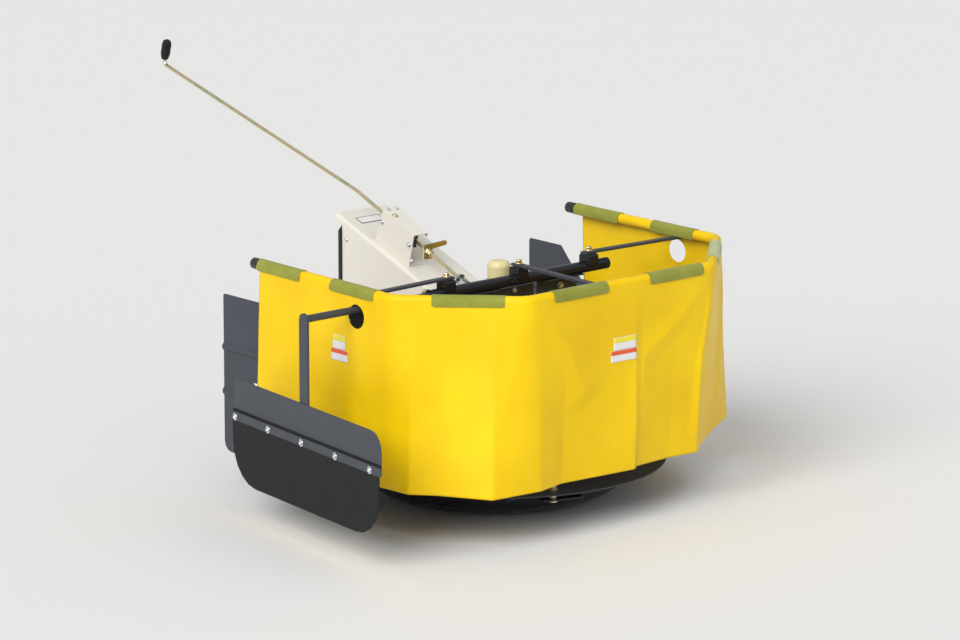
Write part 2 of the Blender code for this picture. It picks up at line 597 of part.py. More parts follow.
def make_drive(input_body, sleeve_body, drive_body):
    line = Matrix.Translation((0, 0, DRIVE_Z)) @ ALONG_Y
    shaft_r, bore = 0.0125, 0.0128
    profile = [(0.0, 0.010), (shaft_r, 0.010), (shaft_r, 0.440), (0.024, 0.441), (0.024, 0.470),
               (0.0, 0.470)]
    add("input_shaft", turned(profile, 20), "machined_steel", input_body, line)
    hub_back = 0.062
    # the tooth gap of the drive gear faces down, onto a tooth of the pinion
    gear = add("drive_gear", bevel_gear(GEAR_TEETH, PINION_TEETH, 1.6, 3.5, hub_back, 0.026, bore,
                                        math.pi + math.pi / GEAR_TEETH),
               "machined_steel", drive_body, line)
    # cone clutch: the sleeve's nose runs into a recess of the same taper in the gear's hub
    spread = math.tan(CONE_TAPER)
    recess = [(0.0, hub_back - CONE_DEPTH), (CONE_MOUTH_R - CONE_DEPTH * spread, hub_back - CONE_DEPTH),
              (CONE_MOUTH_R + 0.002 * spread, hub_back + 0.002), (0.0, hub_back + 0.002)]
    combine(gear, cutter("cone_recess", turned(recess, 48), line))
    front, groove, rear = SLEEVE_FRONT, SHIFT_PIN_Y, 2 * SHIFT_PIN_Y - SLEEVE_FRONT
    outer, root, flank, nose = 0.027, 0.0195, 0.004, 0.006
    nose_r = CONE_MOUTH_R - 0.0006
    ring = [(bore, front - nose), (nose_r - nose * spread, front - nose), (nose_r, front),
            (outer, front), (outer, groove - flank), (root, groove - flank),
            (root, groove + flank), (outer, groove + flank), (outer, rear), (bore, rear)]
    add("clutch_sleeve", turned(ring, 48), "machined_steel", sleeve_body, line)


# ---------------------------------------------------------------- rotor, knives and skid

def knife_places():
    for k in range(KNIFE_COUNT):
        angle = math.radians(KNIFE_FIRST + 360.0 / KNIFE_COUNT * k)
        yield k + 1, angle, Vector((KNIFE_PIN_R * math.cos(angle), KNIFE_PIN_R * math.sin(angle), 0))


def make_rotor(rotor):
    profile = [(0.0, 0.012), (0.025, 0.012), (0.025, 0.018), (SHAFT_R, 0.0185), (SHAFT_R, 0.352),
               (0.0, 0.352)]
    add("rotor_shaft", turned(profile, 24), "machined_steel", rotor)
    down = Matrix.Translation((0, 0, DRIVE_Z)) @ Matrix.Rotation(math.pi, 4, "X")
    add("rotor_pinion", bevel_gear(PINION_TEETH, GEAR_TEETH, 2.4, 6.4, 0.077, 0.022, SHAFT_R + GAP,
                                   -math.pi / 2), "machined_steel", rotor, down)

    low, thick = DISC_Z, DISC_THICK
    bore, hub_r, hub_top, cone_z = SHAFT_R + GAP, 0.055, 0.155, 0.122
    disc = [(bore, cone_z), (0.110, cone_z), (0.325, low), (DISC_R - 0.001, low),
            (DISC_R, low + 0.001), (DISC_R, low + thick - 0.0005), (DISC_R - 0.001, low + thick),
            (0.328, low + thick), (0.113, cone_z + thick), (hub_r, cone_z + thick),
            (hub_r, hub_top), (bore, hub_top)]
    disc_obj = add("rotor_disc", turned(disc, 64), "slate_paint", rotor)
    for k, _, place in knife_places():
        combine(disc_obj, cutter("disc_hole_%d" % k, rod_bm(0.0063, 0.07, 0.10, 12),
                                 Matrix.Translation(place)))
        under, above = KNIFE_TOP - KNIFE_THICK, low + thick
        bolt = [(0.0, under - 0.0065), (0.0105, under - 0.0058), (0.0115, under - GAP),
                (0.006, under - GAP), (0.006, KNIFE_TOP + GAP), (0.010, KNIFE_TOP + GAP),
                (0.010, low - GAP), (0.006, low - GAP), (0.006, above + GAP),
                (0.012, above + GAP), (0.012, above + 0.0022), (0.0095, above + 0.0022),
                (0.0095, above + 0.0110), (0.0, above + 0.0125)]
        add("knife_bolt_%d" % k, turned(bolt, 12), "zinc_yellow", rotor, Matrix.Translation(place))


def make_knife(k, angle, body):
    half = KNIFE_WIDTH / 2
    tail, tip, top = KNIFE_TAIL, KNIFE_LENGTH - KNIFE_TAIL, KNIFE_TOP
    outline = [(-tail, -half + 0.008), (-tail + 0.008, -half), (tip - 0.006, -half), (tip, -half + 0.006),
               (tip, half - 0.006), (tip - 0.006, half), (-tail + 0.008, half), (-tail, half - 0.008)]
    centre = body.matrix_world.translation
    place = Matrix.Translation((centre.x, centre.y, 0)) @ Matrix.Rotation(
        angle + math.radians(KNIFE_TRAIL), 4, "Z")
    knife = add("knife_%d" % k, prism(outline, top - KNIFE_THICK, top), "black_paint", body, place)
    combine(knife, cutter("knife_hole_%d" % k, rod_bm(0.0066, 0.05, 0.09, 12),
                          Matrix.Translation((centre.x, centre.y, 0))))


def make_skid(skid):
    floor_z, wall = PAD_THICK + GAP, 0.003
    bore, hub_r = SHAFT_R + 0.0005, 0.035
    rise = SKID_EDGE - floor_z
    steps = 6

    def side(offset):
        """The dish's side: a curve that leaves the floor flat and steepens to the rim."""
        points = []
        for i in range(steps + 1):
            f = i / steps
            r = SKID_FLOOR_R + (SKID_R - SKID_FLOOR_R) * math.sin(f * math.pi / 2)
            z = floor_z + rise * (1 - math.cos(f * math.pi / 2))
            points.append((r - offset * math.sin(f * math.pi / 2),
                           z + offset * math.cos(f * math.pi / 2)))
        return points

    hub_low, hub_top = 0.0190, 0.0500
    profile = [(0.040, floor_z)] + side(0.0) + side(wall)[::-1]
    profile += [(0.043, floor_z + wall), (hub_r, 0.022), (hub_r, hub_top), (bore, hub_top),
                (bore, hub_low), (0.031, hub_low), (0.037, floor_z + 0.004)]
    add("skid_dish", turned(profile, 48), "black_paint", skid)
    pad = [(0.0, 0.0), (0.206, 0.0), (0.210, 0.002), (0.210, PAD_THICK), (0.0, PAD_THICK)]
    add("skid_pad", turned(pad, 48), "machined_steel", skid)


# ---------------------------------------------------------------- clutch rod

def rod_axis():
    return Vector((0, math.cos(ROD_SLOPE), math.sin(ROD_SLOPE)))


def rod_frame(distance=0.0):
    """Local X sideways, local Y up across the rod, local Z down the rod."""
    along = rod_axis()
    return axes(ROD_PIN + along * distance, (1, 0, 0), Vector((1, 0, 0)).cross(along))


def make_rod_bracket(chassis):
    wall, width, length, lip = 0.002, 0.044, 0.132, 0.010
    front_height, rear_height = 0.080, 0.086
    left = -0.061
    fall = math.tan(SLOPE)
    base_y = 0.240
    base_z = COVER_TOP_REAR - (FLANGE_FRONT - GAP - base_y) * fall + 0.0006

    def section(height, z, lean):
        outline = [(0, 0), (width, 0), (width, wall), (wall, wall), (wall, height - wall),
                   (width - wall, height - wall), (width - wall, height - lip),
                   (width, height - lip), (width, height), (0, height)]
        return [(x, y, z - lean * y) for x, y in outline]

    along = Vector((0, math.cos(SLOPE), math.sin(SLOPE)))
    place = axes((left, base_y, base_z), (1, 0, 0), Vector((1, 0, 0)).cross(along))
    rings = [section(rear_height, -length, 0.0), section(front_height, 0.0, 0.125)]
    add("rod_bracket", loft(bmesh.new(), rings), "cream_paint", chassis, place)
    guide_top = front_height - wall - GAP
    guide = add("rod_guide", block((wall + GAP, 0.030, -0.075), (width - 0.0035, guide_top, -0.035)),
                "black_plastic", chassis, place)
    combine(guide, cutter("guide_bore", rod_bm(ROD_R + 0.001, -0.32, -0.10, 16), rod_frame()))


def make_rod(carriage, rod):
    along = rod_axis()
    upper = Vector((0, math.cos(ROD_UPPER_SLOPE), math.sin(ROD_UPPER_SLOPE)))
    lean = math.radians(104.0)
    grip_dir = Vector((0, math.cos(lean), math.sin(lean)))
    start = ROD_PIN + along * 0.0290
    bend = ROD_PIN + along * ROD_BEND_AT
    top = bend + upper * ROD_UPPER
    tip = top + grip_dir * 0.048
    path = rounded([start, bend, top, tip], [0, 0.06, 0.012, 0], 5)
    add("control_rod", pipe(path, ROD_R, 0.0, 12), "zinc_yellow", rod)
    grip_r, low, high, bore = 0.0118, 0.0095, 0.0600, ROD_R + GAP
    base = top + grip_dir * 0.004
    profile = [(0.0, high), (grip_r * 0.5, high - 0.0005), (grip_r * 0.85, high - 0.004),
               (grip_r, high - 0.012), (grip_r, low + 0.013), (grip_r * 0.72, low),
               (bore, low), (bore, high - 0.0130), (0.0, high - 0.0130)]
    add("rod_grip", turned(profile, 16), "rubber", rod,
        axes(base, (1, 0, 0), grip_dir.cross(Vector((1, 0, 0)))))

    # upright plate across the rod with a finger to the right
    corners = [(-0.013, -0.019), (0.013, -0.019), (0.013, 0.004), (0.058, 0.008), (0.058, 0.019),
               (-0.013, 0.016)]
    hook = [(p.x, p.y) for p in rounded([(x, y, 0) for x, y in corners],
                                        [0.004, 0.003, 0.002, 0.005, 0.005, 0.005], 3)]
    upright = axes(ROD_PIN + along * HOOK_AT, (1, 0, 0), (0, 0, 1))
    plate = add("hook_plate", prism(hook, -0.0025, 0.0025), "zinc_yellow", rod, upright)
    collar = prism(hexagon(0.014), -0.002, 0.016)
    combine(plate, cutter("collar_shape", collar, rod_frame(HOOK_AT)), "UNION")
    combine(plate, cutter("hook_bore", rod_bm(ROD_R + GAP, -0.02, 0.02, 16), rod_frame(HOOK_AT)))

    # yoke: two cheeks either side of the lever, a pin between them, a stem and a cup washer
    yoke = add("rod_yoke", block((-0.0080, -0.006, -0.0135), (0.0080, 0.006, 0.007)), "zinc_clear",
               carriage, rod_frame())
    combine(yoke, cutter("yoke_gap", block((-0.0045, -0.010, -0.0105), (0.0045, 0.010, 0.010)),
                         rod_frame()))
    pin = rod_bm(0.003, -0.0078, 0.0078, 12)
    combine(yoke, cutter("yoke_pin", pin, rod_frame() @ ALONG_X), "UNION")
    cup = [(0.0, -0.0285), (0.0100, -0.0285), (0.0130, -0.0215), (0.0115, -0.0215),
           (0.0088, -0.0255), (0.0042, -0.0255), (0.0042, -0.0130), (0.0, -0.0130)]
    combine(yoke, cutter("cup_shape", turned(cup, 20), rod_frame()), "UNION")


def make_lever(lever):
    """Flat lever standing on its pivot shaft; a notch at its top straddles the yoke's pin."""
    pivot = lever_pivot()
    up = (ROD_PIN - pivot).normalized()
    plane = axes(pivot, up, Vector((0, 1, 0)))
    half, notch, reach = 0.007, 0.004, LEVER_ARM + 0.010
    floor = LEVER_ARM - 0.006
    outline = [(-0.008, -half), (reach, -half), (reach, -notch), (floor, -notch), (floor, notch),
               (reach, notch), (reach, half), (-0.008, half)]
    # the plane's local Z points along X, so the lever is 6 mm thick there
    bar = add("clutch_lever", prism(outline, -0.003, 0.003), "machined_steel", lever, plane)
    at_x = Matrix.Translation((0, pivot.y, pivot.z)) @ ALONG_X
    combine(bar, cutter("pivot_shaft", rod_bm(0.005, -0.0745, -0.039, 12), at_x), "UNION")
    low = pivot.z - LEVER_LOWER
    combine(bar, cutter("lower_arm", block((-0.0425, SHIFT_PIN_Y - 0.006, low - 0.004),
                                           (-0.0375, SHIFT_PIN_Y + 0.004, pivot.z + 0.002))), "UNION")
    combine(bar, cutter("shift_pin", rod_bm(0.0025, -0.041, -0.005, 12),
                        Matrix.Translation((0, SHIFT_PIN_Y, low)) @ ALONG_X), "UNION")


# ---------------------------------------------------------------- swath board

def board_place():
    """Local X forward along the board, local Y up, local Z away from the machine."""
    forward = Vector((-math.sin(BOARD_TURN), -math.cos(BOARD_TURN), 0))
    return axes((BAR_X, CROSS_Y, 0), forward, (0, 0, 1))


def make_swath(arm_body, board_body):
    ends = [Vector((x, CROSS_Y, CROSS_Z)) for x in (ARM_OUTER, ARM_INNER)]
    add("swath_tube", pipe(ends, ARM_R, 0.006, 16), "slate_paint", arm_body)
    place = board_place()
    half = BAR_WIDTH / 2
    bar_top = CROSS_Z + 0.0145
    bar = [(-half, 0.248), (half, 0.248)] + arc(half, 0, 180, 6, (0.0, bar_top - half))
    add("swath_bar", prism(bar, -BAR_THICK / 2, BAR_THICK / 2), "slate_paint", board_body, place)

    def layer(name, outline, radii, offset, thick, material):
        points = rounded([(s, z, 0) for s, z in outline], radii, 5)
        near = BAR_THICK / 2 + offset
        return add(name, prism([(p.x, p.y) for p in points], near, near + thick), material,
                   board_body, place)

    plate = [(BOARD_REAR, BOARD_BOTTOM), (BOARD_FRONT, BOARD_BOTTOM), (BOARD_FRONT, BOARD_TOP),
             (BOARD_REAR, BOARD_TOP)]
    layer("swath_plate", plate, [0, 0, 0.045, 0.016], GAP, BOARD_THICK, "slate_paint")
    flap = [(BOARD_REAR, FLAP_BOTTOM), (BOARD_FRONT - 0.005, FLAP_BOTTOM),
            (BOARD_FRONT - 0.005, STRIP_TOP), (BOARD_REAR, STRIP_TOP)]
    layer("rubber_flap", flap, [0.100, 0.095, 0, 0], 2 * GAP + BOARD_THICK, FLAP_THICK, "rubber")
    strip = [(BOARD_REAR, STRIP_BOTTOM), (BOARD_FRONT + 0.010, STRIP_BOTTOM),
             (BOARD_FRONT + 0.010, STRIP_TOP), (BOARD_REAR, STRIP_TOP)]
    layer("clamp_strip", strip, [0.002, 0.006, 0.006, 0.002], 3 * GAP + BOARD_THICK + FLAP_THICK,
          STRIP_THICK, "slate_paint")


def main():
    clear_scene()
    make_materials()
    chassis = empty("chassis")
    rotor = empty("rotor", (0, 0, 0), chassis)
    skid = empty("skid", (0, 0, 0), rotor)
    drive_line = (0, 0, DRIVE_Z)
    input_body = empty("input", drive_line, chassis)
    sleeve_body = empty("sleeve", drive_line, input_body)
    drive_body = empty("drive", drive_line, chassis)
    carriage = empty("carriage", ROD_PIN, chassis)
    rod = empty("rod", ROD_PIN, carriage)
    lever = empty("lever", lever_pivot(), chassis)
    arm_line = (BAR_X, CROSS_Y, CROSS_Z)
    arm_body = empty("arm", arm_line, chassis)
    board_body = empty("board", arm_line, arm_body)

    make_hoop(chassis)
    make_apron(chassis)
    make_cross_tube(chassis)
    make_carrier(chassis)
    make_deck(chassis)
    make_panels(chassis)
    make_gear_case(chassis)
    make_flange_and_cover(chassis)
    make_drive(input_body, sleeve_body, drive_body)
    make_rotor(rotor)
    for k, angle, place in knife_places():
        make_knife(k, angle, empty("knife_body_%d" % k, place, rotor))
    make_skid(skid)
    make_rod_bracket(chassis)
    make_rod(carriage, rod)
    make_lever(lever)
    make_swath(arm_body, board_body)


main()
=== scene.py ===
"""Looks of the single-disc mower head: cloth, small fittings, materials, light and camera."""
import json
import math

import bmesh
import bpy
import numpy as np
from mathutils import Matrix, Vector, noise
from mathutils.bvhtree import BVHTree


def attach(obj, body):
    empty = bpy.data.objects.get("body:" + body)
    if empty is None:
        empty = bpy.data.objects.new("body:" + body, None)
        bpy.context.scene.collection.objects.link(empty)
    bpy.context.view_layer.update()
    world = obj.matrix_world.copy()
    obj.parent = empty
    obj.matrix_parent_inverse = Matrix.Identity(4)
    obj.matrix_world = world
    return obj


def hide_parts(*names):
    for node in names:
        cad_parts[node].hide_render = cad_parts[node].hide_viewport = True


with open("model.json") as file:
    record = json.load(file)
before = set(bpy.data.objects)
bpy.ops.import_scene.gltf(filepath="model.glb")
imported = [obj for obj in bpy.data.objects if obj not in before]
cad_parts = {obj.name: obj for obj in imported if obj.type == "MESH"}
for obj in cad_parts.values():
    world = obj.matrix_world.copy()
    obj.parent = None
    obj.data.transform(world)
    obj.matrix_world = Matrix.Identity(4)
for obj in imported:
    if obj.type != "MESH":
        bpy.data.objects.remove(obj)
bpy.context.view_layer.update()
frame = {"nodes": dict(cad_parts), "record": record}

# ---------------------------------------------------------------- sizes, in metres

HOOP_Z, HOOP_R, HOOP_BEND = 0.570, 0.0111, 0.055
HOOP_CORNERS = [(-0.489, 0.291), (-0.500, -0.224), (-0.285, -0.435),
                (0.285, -0.435), (0.500, -0.224), (0.489, 0.291)]
CROSS_Y, CROSS_Z = -0.095, 0.526
SADDLES = {"left": -0.231, "centre": -0.009, "right": 0.210}
SHEET = 0.0011
SHEET_R = HOOP_R + 0.0010       # middle of the tarpaulin where it wraps the hoop
APRON_TRIM = 0.0400
HEM_Z = 0.131
WRAP_DEGREES = 248              # how far the tarpaulin goes round the hoop
CORNER_TURN = math.radians(44.6)                            # mean turn of the hoop's bends
TAB_THICK = 0.0013
TAB_R = SHEET_R + SHEET / 2 + 0.0004 + TAB_THICK / 2
TABS = {
    "tab_left_rear": (0, 0.030, 0.190),
    "tab_left_front": (0, 0.302, 0.460),
    "tab_left_corner": (1, 0.088, 0.253),
    "tab_front_left": (2, 0.073, 0.237),
    "tab_front_right": (2, 0.366, 0.533),
    "tab_right_corner": (3, 0.060, 0.234),
    "tab_right_front": (4, 0.068, 0.212),
    "tab_right_rear": (4, 0.325, 0.480),
}
ARM_HOLE_R = 0.0280
ARM_HOLES = ((-1, -0.108, 0.5135), (1, -0.078, 0.518))      # side, y, z

SLOPE = math.radians(20.7)      # cover top
BOARD_TURN = math.radians(8.0)
BOARD_ORIGIN = Vector((-0.653, CROSS_Y, 0.0))
BOARD_REAR, BOARD_FRONT, STRIP_TOP = -0.3055, 0.3355, 0.2546
FLAP_BOLT_Z, FLAP_BOLT_PITCH = 0.2425, 0.147
STRIP_FACE = 0.0129             # from the middle of the swath bar to the strip's outer face
BRACKET_SIDE = -0.0611          # just clear of the rod bracket's left wall
CARRIER_FRONT = -0.0751         # just clear of the tube carrier's front


# ---------------------------------------------------------------- material helper

class Look:
    """A node material: a Principled shader and the procedural nodes that feed it."""

    def __init__(self, name, colour, roughness, metallic=0.0, **settings):
        self.mat = bpy.data.materials.new(name)
        self.mat.use_nodes = True
        self.nodes, self.links = self.mat.node_tree.nodes, self.mat.node_tree.links
        self.bsdf = self.nodes["Principled BSDF"]
        self.set("Base Color", (*colour, 1.0))
        self.set("Roughness", roughness)
        self.set("Metallic", metallic)
        for key, value in settings.items():
            self.set(key.replace("_", " "), value)
        self.coord = self.nodes.new("ShaderNodeTexCoord")
        self.height = None

    def set(self, socket, value):
        self.bsdf.inputs[socket].default_value = value

    def link(self, source, target):
        self.links.new(source, target)

    def space(self, kind="Object", scale=(1, 1, 1)):
        mapping = self.nodes.new("ShaderNodeMapping")
        mapping.inputs["Scale"].default_value = scale
        self.link(self.coord.outputs[kind], mapping.inputs["Vector"])
        return mapping.outputs["Vector"]

    def noise(self, scale, detail=3.0, rough=0.5, space=None, distortion=0.0):
        node = self.nodes.new("ShaderNodeTexNoise")
        node.inputs["Scale"].default_value = scale
        node.inputs["Detail"].default_value = detail
        node.inputs["Roughness"].default_value = rough
        node.inputs["Distortion"].default_value = distortion
        self.link(space or self.coord.outputs["Object"], node.inputs["Vector"])
        return node.outputs["Fac"]

    def cells(self, scale, space=None):
        node = self.nodes.new("ShaderNodeTexVoronoi")
        node.inputs["Scale"].default_value = scale
        self.link(space or self.coord.outputs["Object"], node.inputs["Vector"])
        return node.outputs["Distance"]

    def wave(self, scale, axis, space):
        node = self.nodes.new("ShaderNodeTexWave")
        node.bands_direction = axis
        node.inputs["Scale"].default_value = scale
        self.link(space, node.inputs["Vector"])
        return node.outputs["Fac"]

    def span(self, value, low, high, to_low=0.0, to_high=1.0):
        node = self.nodes.new("ShaderNodeMapRange")
        numbers = (low, high, to_low, to_high)
        for key, number in zip(("From Min", "From Max", "To Min", "To Max"), numbers):
            node.inputs[key].default_value = number
        self.link(value, node.inputs["Value"])
        return node.outputs["Result"]

    def maths(self, operation, a, b):
        node = self.nodes.new("ShaderNodeMath")
        node.operation = operation
        for socket, value in zip(node.inputs, (a, b)):
            if isinstance(value, (int, float)):
                socket.default_value = value
            else:
                self.link(value, socket)
        return node.outputs["Value"]

    def mix(self, factor, a, b):
        node = self.nodes.new("ShaderNodeMix")
        node.data_type = "RGBA"
        self.link(factor, node.inputs["Factor"])
        colour_a = [s for s in node.inputs if s.name == "A" and s.type == "RGBA"][0]
        colour_b = [s for s in node.inputs if s.name == "B" and s.type == "RGBA"][0]
        for socket, value in ((colour_a, a), (colour_b, b)):
            if isinstance(value, tuple):
                socket.default_value = (*value, 1.0)
            else:
                self.link(value, socket)
        return [s for s in node.outputs if s.type == "RGBA"][0]

    def colour(self, source):
        self.link(source, self.bsdf.inputs["Base Color"])

    def roughness(self, source):
        self.link(source, self.bsdf.inputs["Roughness"])

    def bump(self, height, distance, strength=1.0):
        node = self.nodes.new("ShaderNodeBump")
        node.inputs["Distance"].default_value = distance
        node.inputs["Strength"].default_value = strength
        self.link(height, node.inputs["Height"])
        if self.height is not None:
            self.link(self.height, node.inputs["Normal"])
        self.height = node.outputs["Normal"]
        self.link(self.height, self.bsdf.inputs["Normal"])


# ---------------------------------------------------------------- materials

def paint(name, colour, roughness, spread=0.06, coat=0.0):
    """Sprayed paint: orange peel, a faint cloudiness and fine dust."""
    look = Look(name, colour, roughness, Coat_Weight=coat, Coat_Roughness=0.12,
                Specular_IOR_Level=0.3)
    cloud = look.noise(6.0, 4.0)
    darker = tuple(c * (1 - spread) for c in colour)
    lighter = tuple(min(1.0, c * (1 + spread)) for c in colour)
    dust = look.span(look.noise(900.0, 2.0), 0.66, 0.78)
    tint = look.mix(look.span(cloud, 0.3, 0.7), darker, lighter)
    pale = tuple(min(1.0, c * 1.25 + 0.02) for c in colour)
    look.colour(look.mix(look.maths("MULTIPLY", dust, 0.35), tint, pale))
    smudge = look.noise(14.0, 5.0, 0.6)
    look.roughness(look.span(smudge, 0.3, 0.75, roughness - 0.05, roughness + 0.10))
    look.bump(look.noise(420.0, 2.0), 0.00004)
    return look.mat


def plated(name, tones, roughness):
    """Plated steel whose colour drifts between several tones, with fine draw marks."""
    look = Look(name, tones[0], roughness, 1.0)
    drift = look.noise(38.0, 3.0, 0.55, distortion=1.2)
    shade = look.mix(look.span(drift, 0.36, 0.50), tones[0], tones[1])
    other = look.noise(22.8, 2.0, 0.5)
    look.colour(look.mix(look.span(other, 0.50, 0.66), shade, tones[2]))
    grain = look.noise(700.0, 3.0, 0.6)
    look.roughness(look.span(grain, 0.3, 0.7, roughness - 0.08, roughness + 0.12))
    look.bump(grain, 0.00003)
    return look.mat


def tarpaulin(name, colour):
    """Coated fabric: a faint square scrim under a satin skin, with handling marks."""
    look = Look(name, colour, 0.40, Specular_IOR_Level=0.22)
    threads = look.space("UV", (1.0, 1.0, 1.0))
    warp = look.wave(260.0, "X", threads)
    weft = look.wave(260.0, "Y", threads)
    cloud = look.noise(5.0, 4.0, 0.55)
    deep = (colour[0] * 0.93, colour[1] * 0.88, colour[2] * 0.8)
    bright = (min(1.0, colour[0] * 1.03), colour[1] * 1.06, colour[2] * 1.4)
    look.colour(look.mix(look.span(cloud, 0.30, 0.72), deep, bright))
    scuff = look.noise(24.0, 6.0, 0.65)
    look.roughness(look.span(scuff, 0.35, 0.75, 0.34, 0.52))
    look.bump(look.maths("MULTIPLY", warp, weft), 0.00010)
    look.bump(look.noise(90.0, 3.0), 0.00025)
    return look.mat


def loop_fabric(name, colour):
    """Looped side of hook-and-loop tape: matt, fuzzy and slightly mottled."""
    look = Look(name, colour, 0.90, Sheen_Weight=0.25, Sheen_Roughness=0.4,
                Specular_IOR_Level=0.2)
    space = look.space("Object", (1, 1, 1))
    mottle = look.noise(30.0, 4.0, 0.6, space)
    deep = tuple(c * 0.90 for c in colour)
    bright = tuple(min(1.0, c * 1.08 + 0.005) for c in colour)
    look.colour(look.mix(look.span(mottle, 0.32, 0.68), deep, bright))
    loops = look.cells(1300.0, space)
    look.bump(loops, 0.00022, 0.7)
    look.bump(look.noise(260.0, 4.0, 0.6, space), 0.00015, 0.6)
    return look.mat


def rubber(name, colour, roughness):
    """Plain sheet rubber with dust in its grain."""
    look = Look(name, colour, roughness, Specular_IOR_Level=0.25)
    cloud = look.noise(9.0, 5.0, 0.6)
    pale = tuple(c * 1.35 + 0.002 for c in colour)
    dust = look.span(look.noise(700.0, 2.0), 0.62, 0.80)
    base = look.mix(look.span(cloud, 0.3, 0.8), colour, pale)
    look.colour(look.mix(look.maths("MULTIPLY", dust, 0.5), base, (0.10, 0.10, 0.10)))
    look.roughness(look.span(cloud, 0.3, 0.7, roughness - 0.06, roughness + 0.08))
    look.bump(look.noise(1100.0, 2.0, 0.6), 0.00006)
    look.bump(look.noise(30.0, 3.0), 0.0002)
    return look.mat


def moulded(name, colour, roughness):
    """Moulded plastic or printed film: smooth, with a faint cloudiness."""
    look = Look(name, colour, roughness, Coat_Weight=0.1, Coat_Roughness=0.2)
    cloud = look.noise(40.0, 3.0)
    deep = tuple(c * 0.94 for c in colour)
    look.colour(look.mix(look.span(cloud, 0.3, 0.7), deep, colour))
    look.roughness(look.span(look.noise(200.0), 0.3, 0.7, roughness - 0.04, roughness + 0.06))
    look.bump(look.noise(500.0, 2.0), 0.00003)
    return look.mat


def machined(name, colour, roughness):
    """Turned or milled steel: fine tool lines, oily patches."""
    look = Look(name, colour, roughness, 1.0)
    lines = look.noise(60.0, 3.0, 0.5, look.space("Object", (1, 1, 26)))
    oil = look.noise(18.0, 4.0, 0.6)
    deep = tuple(c * 0.70 for c in colour)
    look.colour(look.mix(look.span(oil, 0.35, 0.70), colour, deep))
    look.roughness(look.span(lines, 0.3, 0.7, roughness - 0.08, roughness + 0.16))
    look.bump(lines, 0.00004)
    return look.mat


def cast(name, colour):
    """Sand-cast iron under dark paint."""
    look = Look(name, colour, 0.55, 0.2)
    sand = look.noise(380.0, 4.0, 0.7)
    cloud = look.noise(16.0, 4.0)
    pale = tuple(c * 1.5 for c in colour)
    look.colour(look.mix(look.span(cloud, 0.3, 0.7), colour, pale))
    look.roughness(look.span(sand, 0.3, 0.7, 0.42, 0.66))
    look.bump(sand, 0.0005)
    return look.mat


def make_materials():
    steel = (0.56, 0.57, 0.59)
    return {
        "yellow_sheet": tarpaulin("yellow_sheet", (0.90, 0.60, 0.002)),
        "green_tab": loop_fabric("green_tab", (0.27, 0.285, 0.045)),
        "pale_tab": loop_fabric("pale_tab", (0.46, 0.51, 0.25)),
        "slate_paint": paint("slate_paint", (0.052, 0.058, 0.072), 0.42),
        "black_paint": paint("black_paint", (0.010, 0.011, 0.016), 0.24, coat=0.2),
        "cream_paint": paint("cream_paint", (0.74, 0.71, 0.64), 0.36, spread=0.02),
        "ivory_plastic": moulded("ivory_plastic", (0.77, 0.69, 0.37), 0.30),
        "black_plastic": moulded("black_plastic", (0.022, 0.022, 0.028), 0.45),
        "zinc_yellow": plated("zinc_yellow", ((0.80, 0.75, 0.45), (0.85, 0.70, 0.45),
                                              (0.62, 0.66, 0.38)), 0.28),
        "zinc_clear": plated("zinc_clear", ((0.76, 0.77, 0.79), (0.66, 0.69, 0.76),
                                            (0.80, 0.79, 0.76)), 0.24),
        "machined_steel": machined("machined_steel", steel, 0.30),
        "cast_iron": cast("cast_iron", (0.040, 0.040, 0.044)),
        "rubber": rubber("rubber", (0.008, 0.0085, 0.009), 0.60),
        "label_white": moulded("label_white", (0.80, 0.80, 0.80), 0.45),
        "label_yellow": moulded("label_yellow", (0.88, 0.76, 0.02), 0.45),
        "label_red": moulded("label_red", (0.80, 0.10, 0.02), 0.45),
        "label_black": moulded("label_black", (0.02, 0.02, 0.02), 0.45),
    }


MATERIALS = make_materials()


def dress_cad():
    """Gives each CAD node its finish and soft bevelled edges."""
    slots = {s["node"]: s["material_slot"] for s in frame["record"]["subparts"]}
    for name, obj in frame["nodes"].items():
        obj.data.materials.clear()
        obj.data.materials.append(MATERIALS[slots[name]])
        weld = obj.modifiers.new("weld", "WELD")
        weld.merge_threshold = 0.00001
        bevel = obj.modifiers.new("bevel", "BEVEL")
        bevel.width = 0.0006
        bevel.segments = 2
        bevel.limit_method = "ANGLE"
        bevel.angle_limit = math.radians(40)
        bevel.harden_normals = True


dress_cad()


# ---------------------------------------------------------------- mesh helpers

def piece(name, bm, material, body, matrix=None, smooth=40):
    """A visible piece that rides on a body."""
    if matrix is not None:
        bm.transform(matrix)
    bmesh.ops.recalc_face_normals(bm, faces=bm.faces)
    mesh = bpy.data.meshes.new(name)
    bm.to_mesh(mesh)
    bm.free()
    mesh.shade_smooth()
    mesh.set_sharp_from_angle(angle=math.radians(smooth))
    obj = bpy.data.objects.new(name, mesh)
    bpy.context.scene.collection.objects.link(obj)
    mesh.materials.append(MATERIALS[material])
    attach(obj, body)
    return obj


def loft(bm, rings):
    """Skin through equal rings of points, closed at both ends."""
    loops = [[bm.verts.new(p) for p in ring] for ring in rings]
    for low, high in zip(loops, loops[1:]):
        for i in range(len(low)):
            j = (i + 1) % len(low)
            bm.faces.new((low[i], low[j], high[j], high[i]))
    bm.faces.new(reversed(loops[0]))
    bm.faces.new(loops[-1])
    return bm


def smooth_step(x, low, high):
    t = np.clip((x - low) / (high - low), 0.0, 1.0)
    return t * t * (3 - 2 * t)


# ---------------------------------------------------------------- the apron

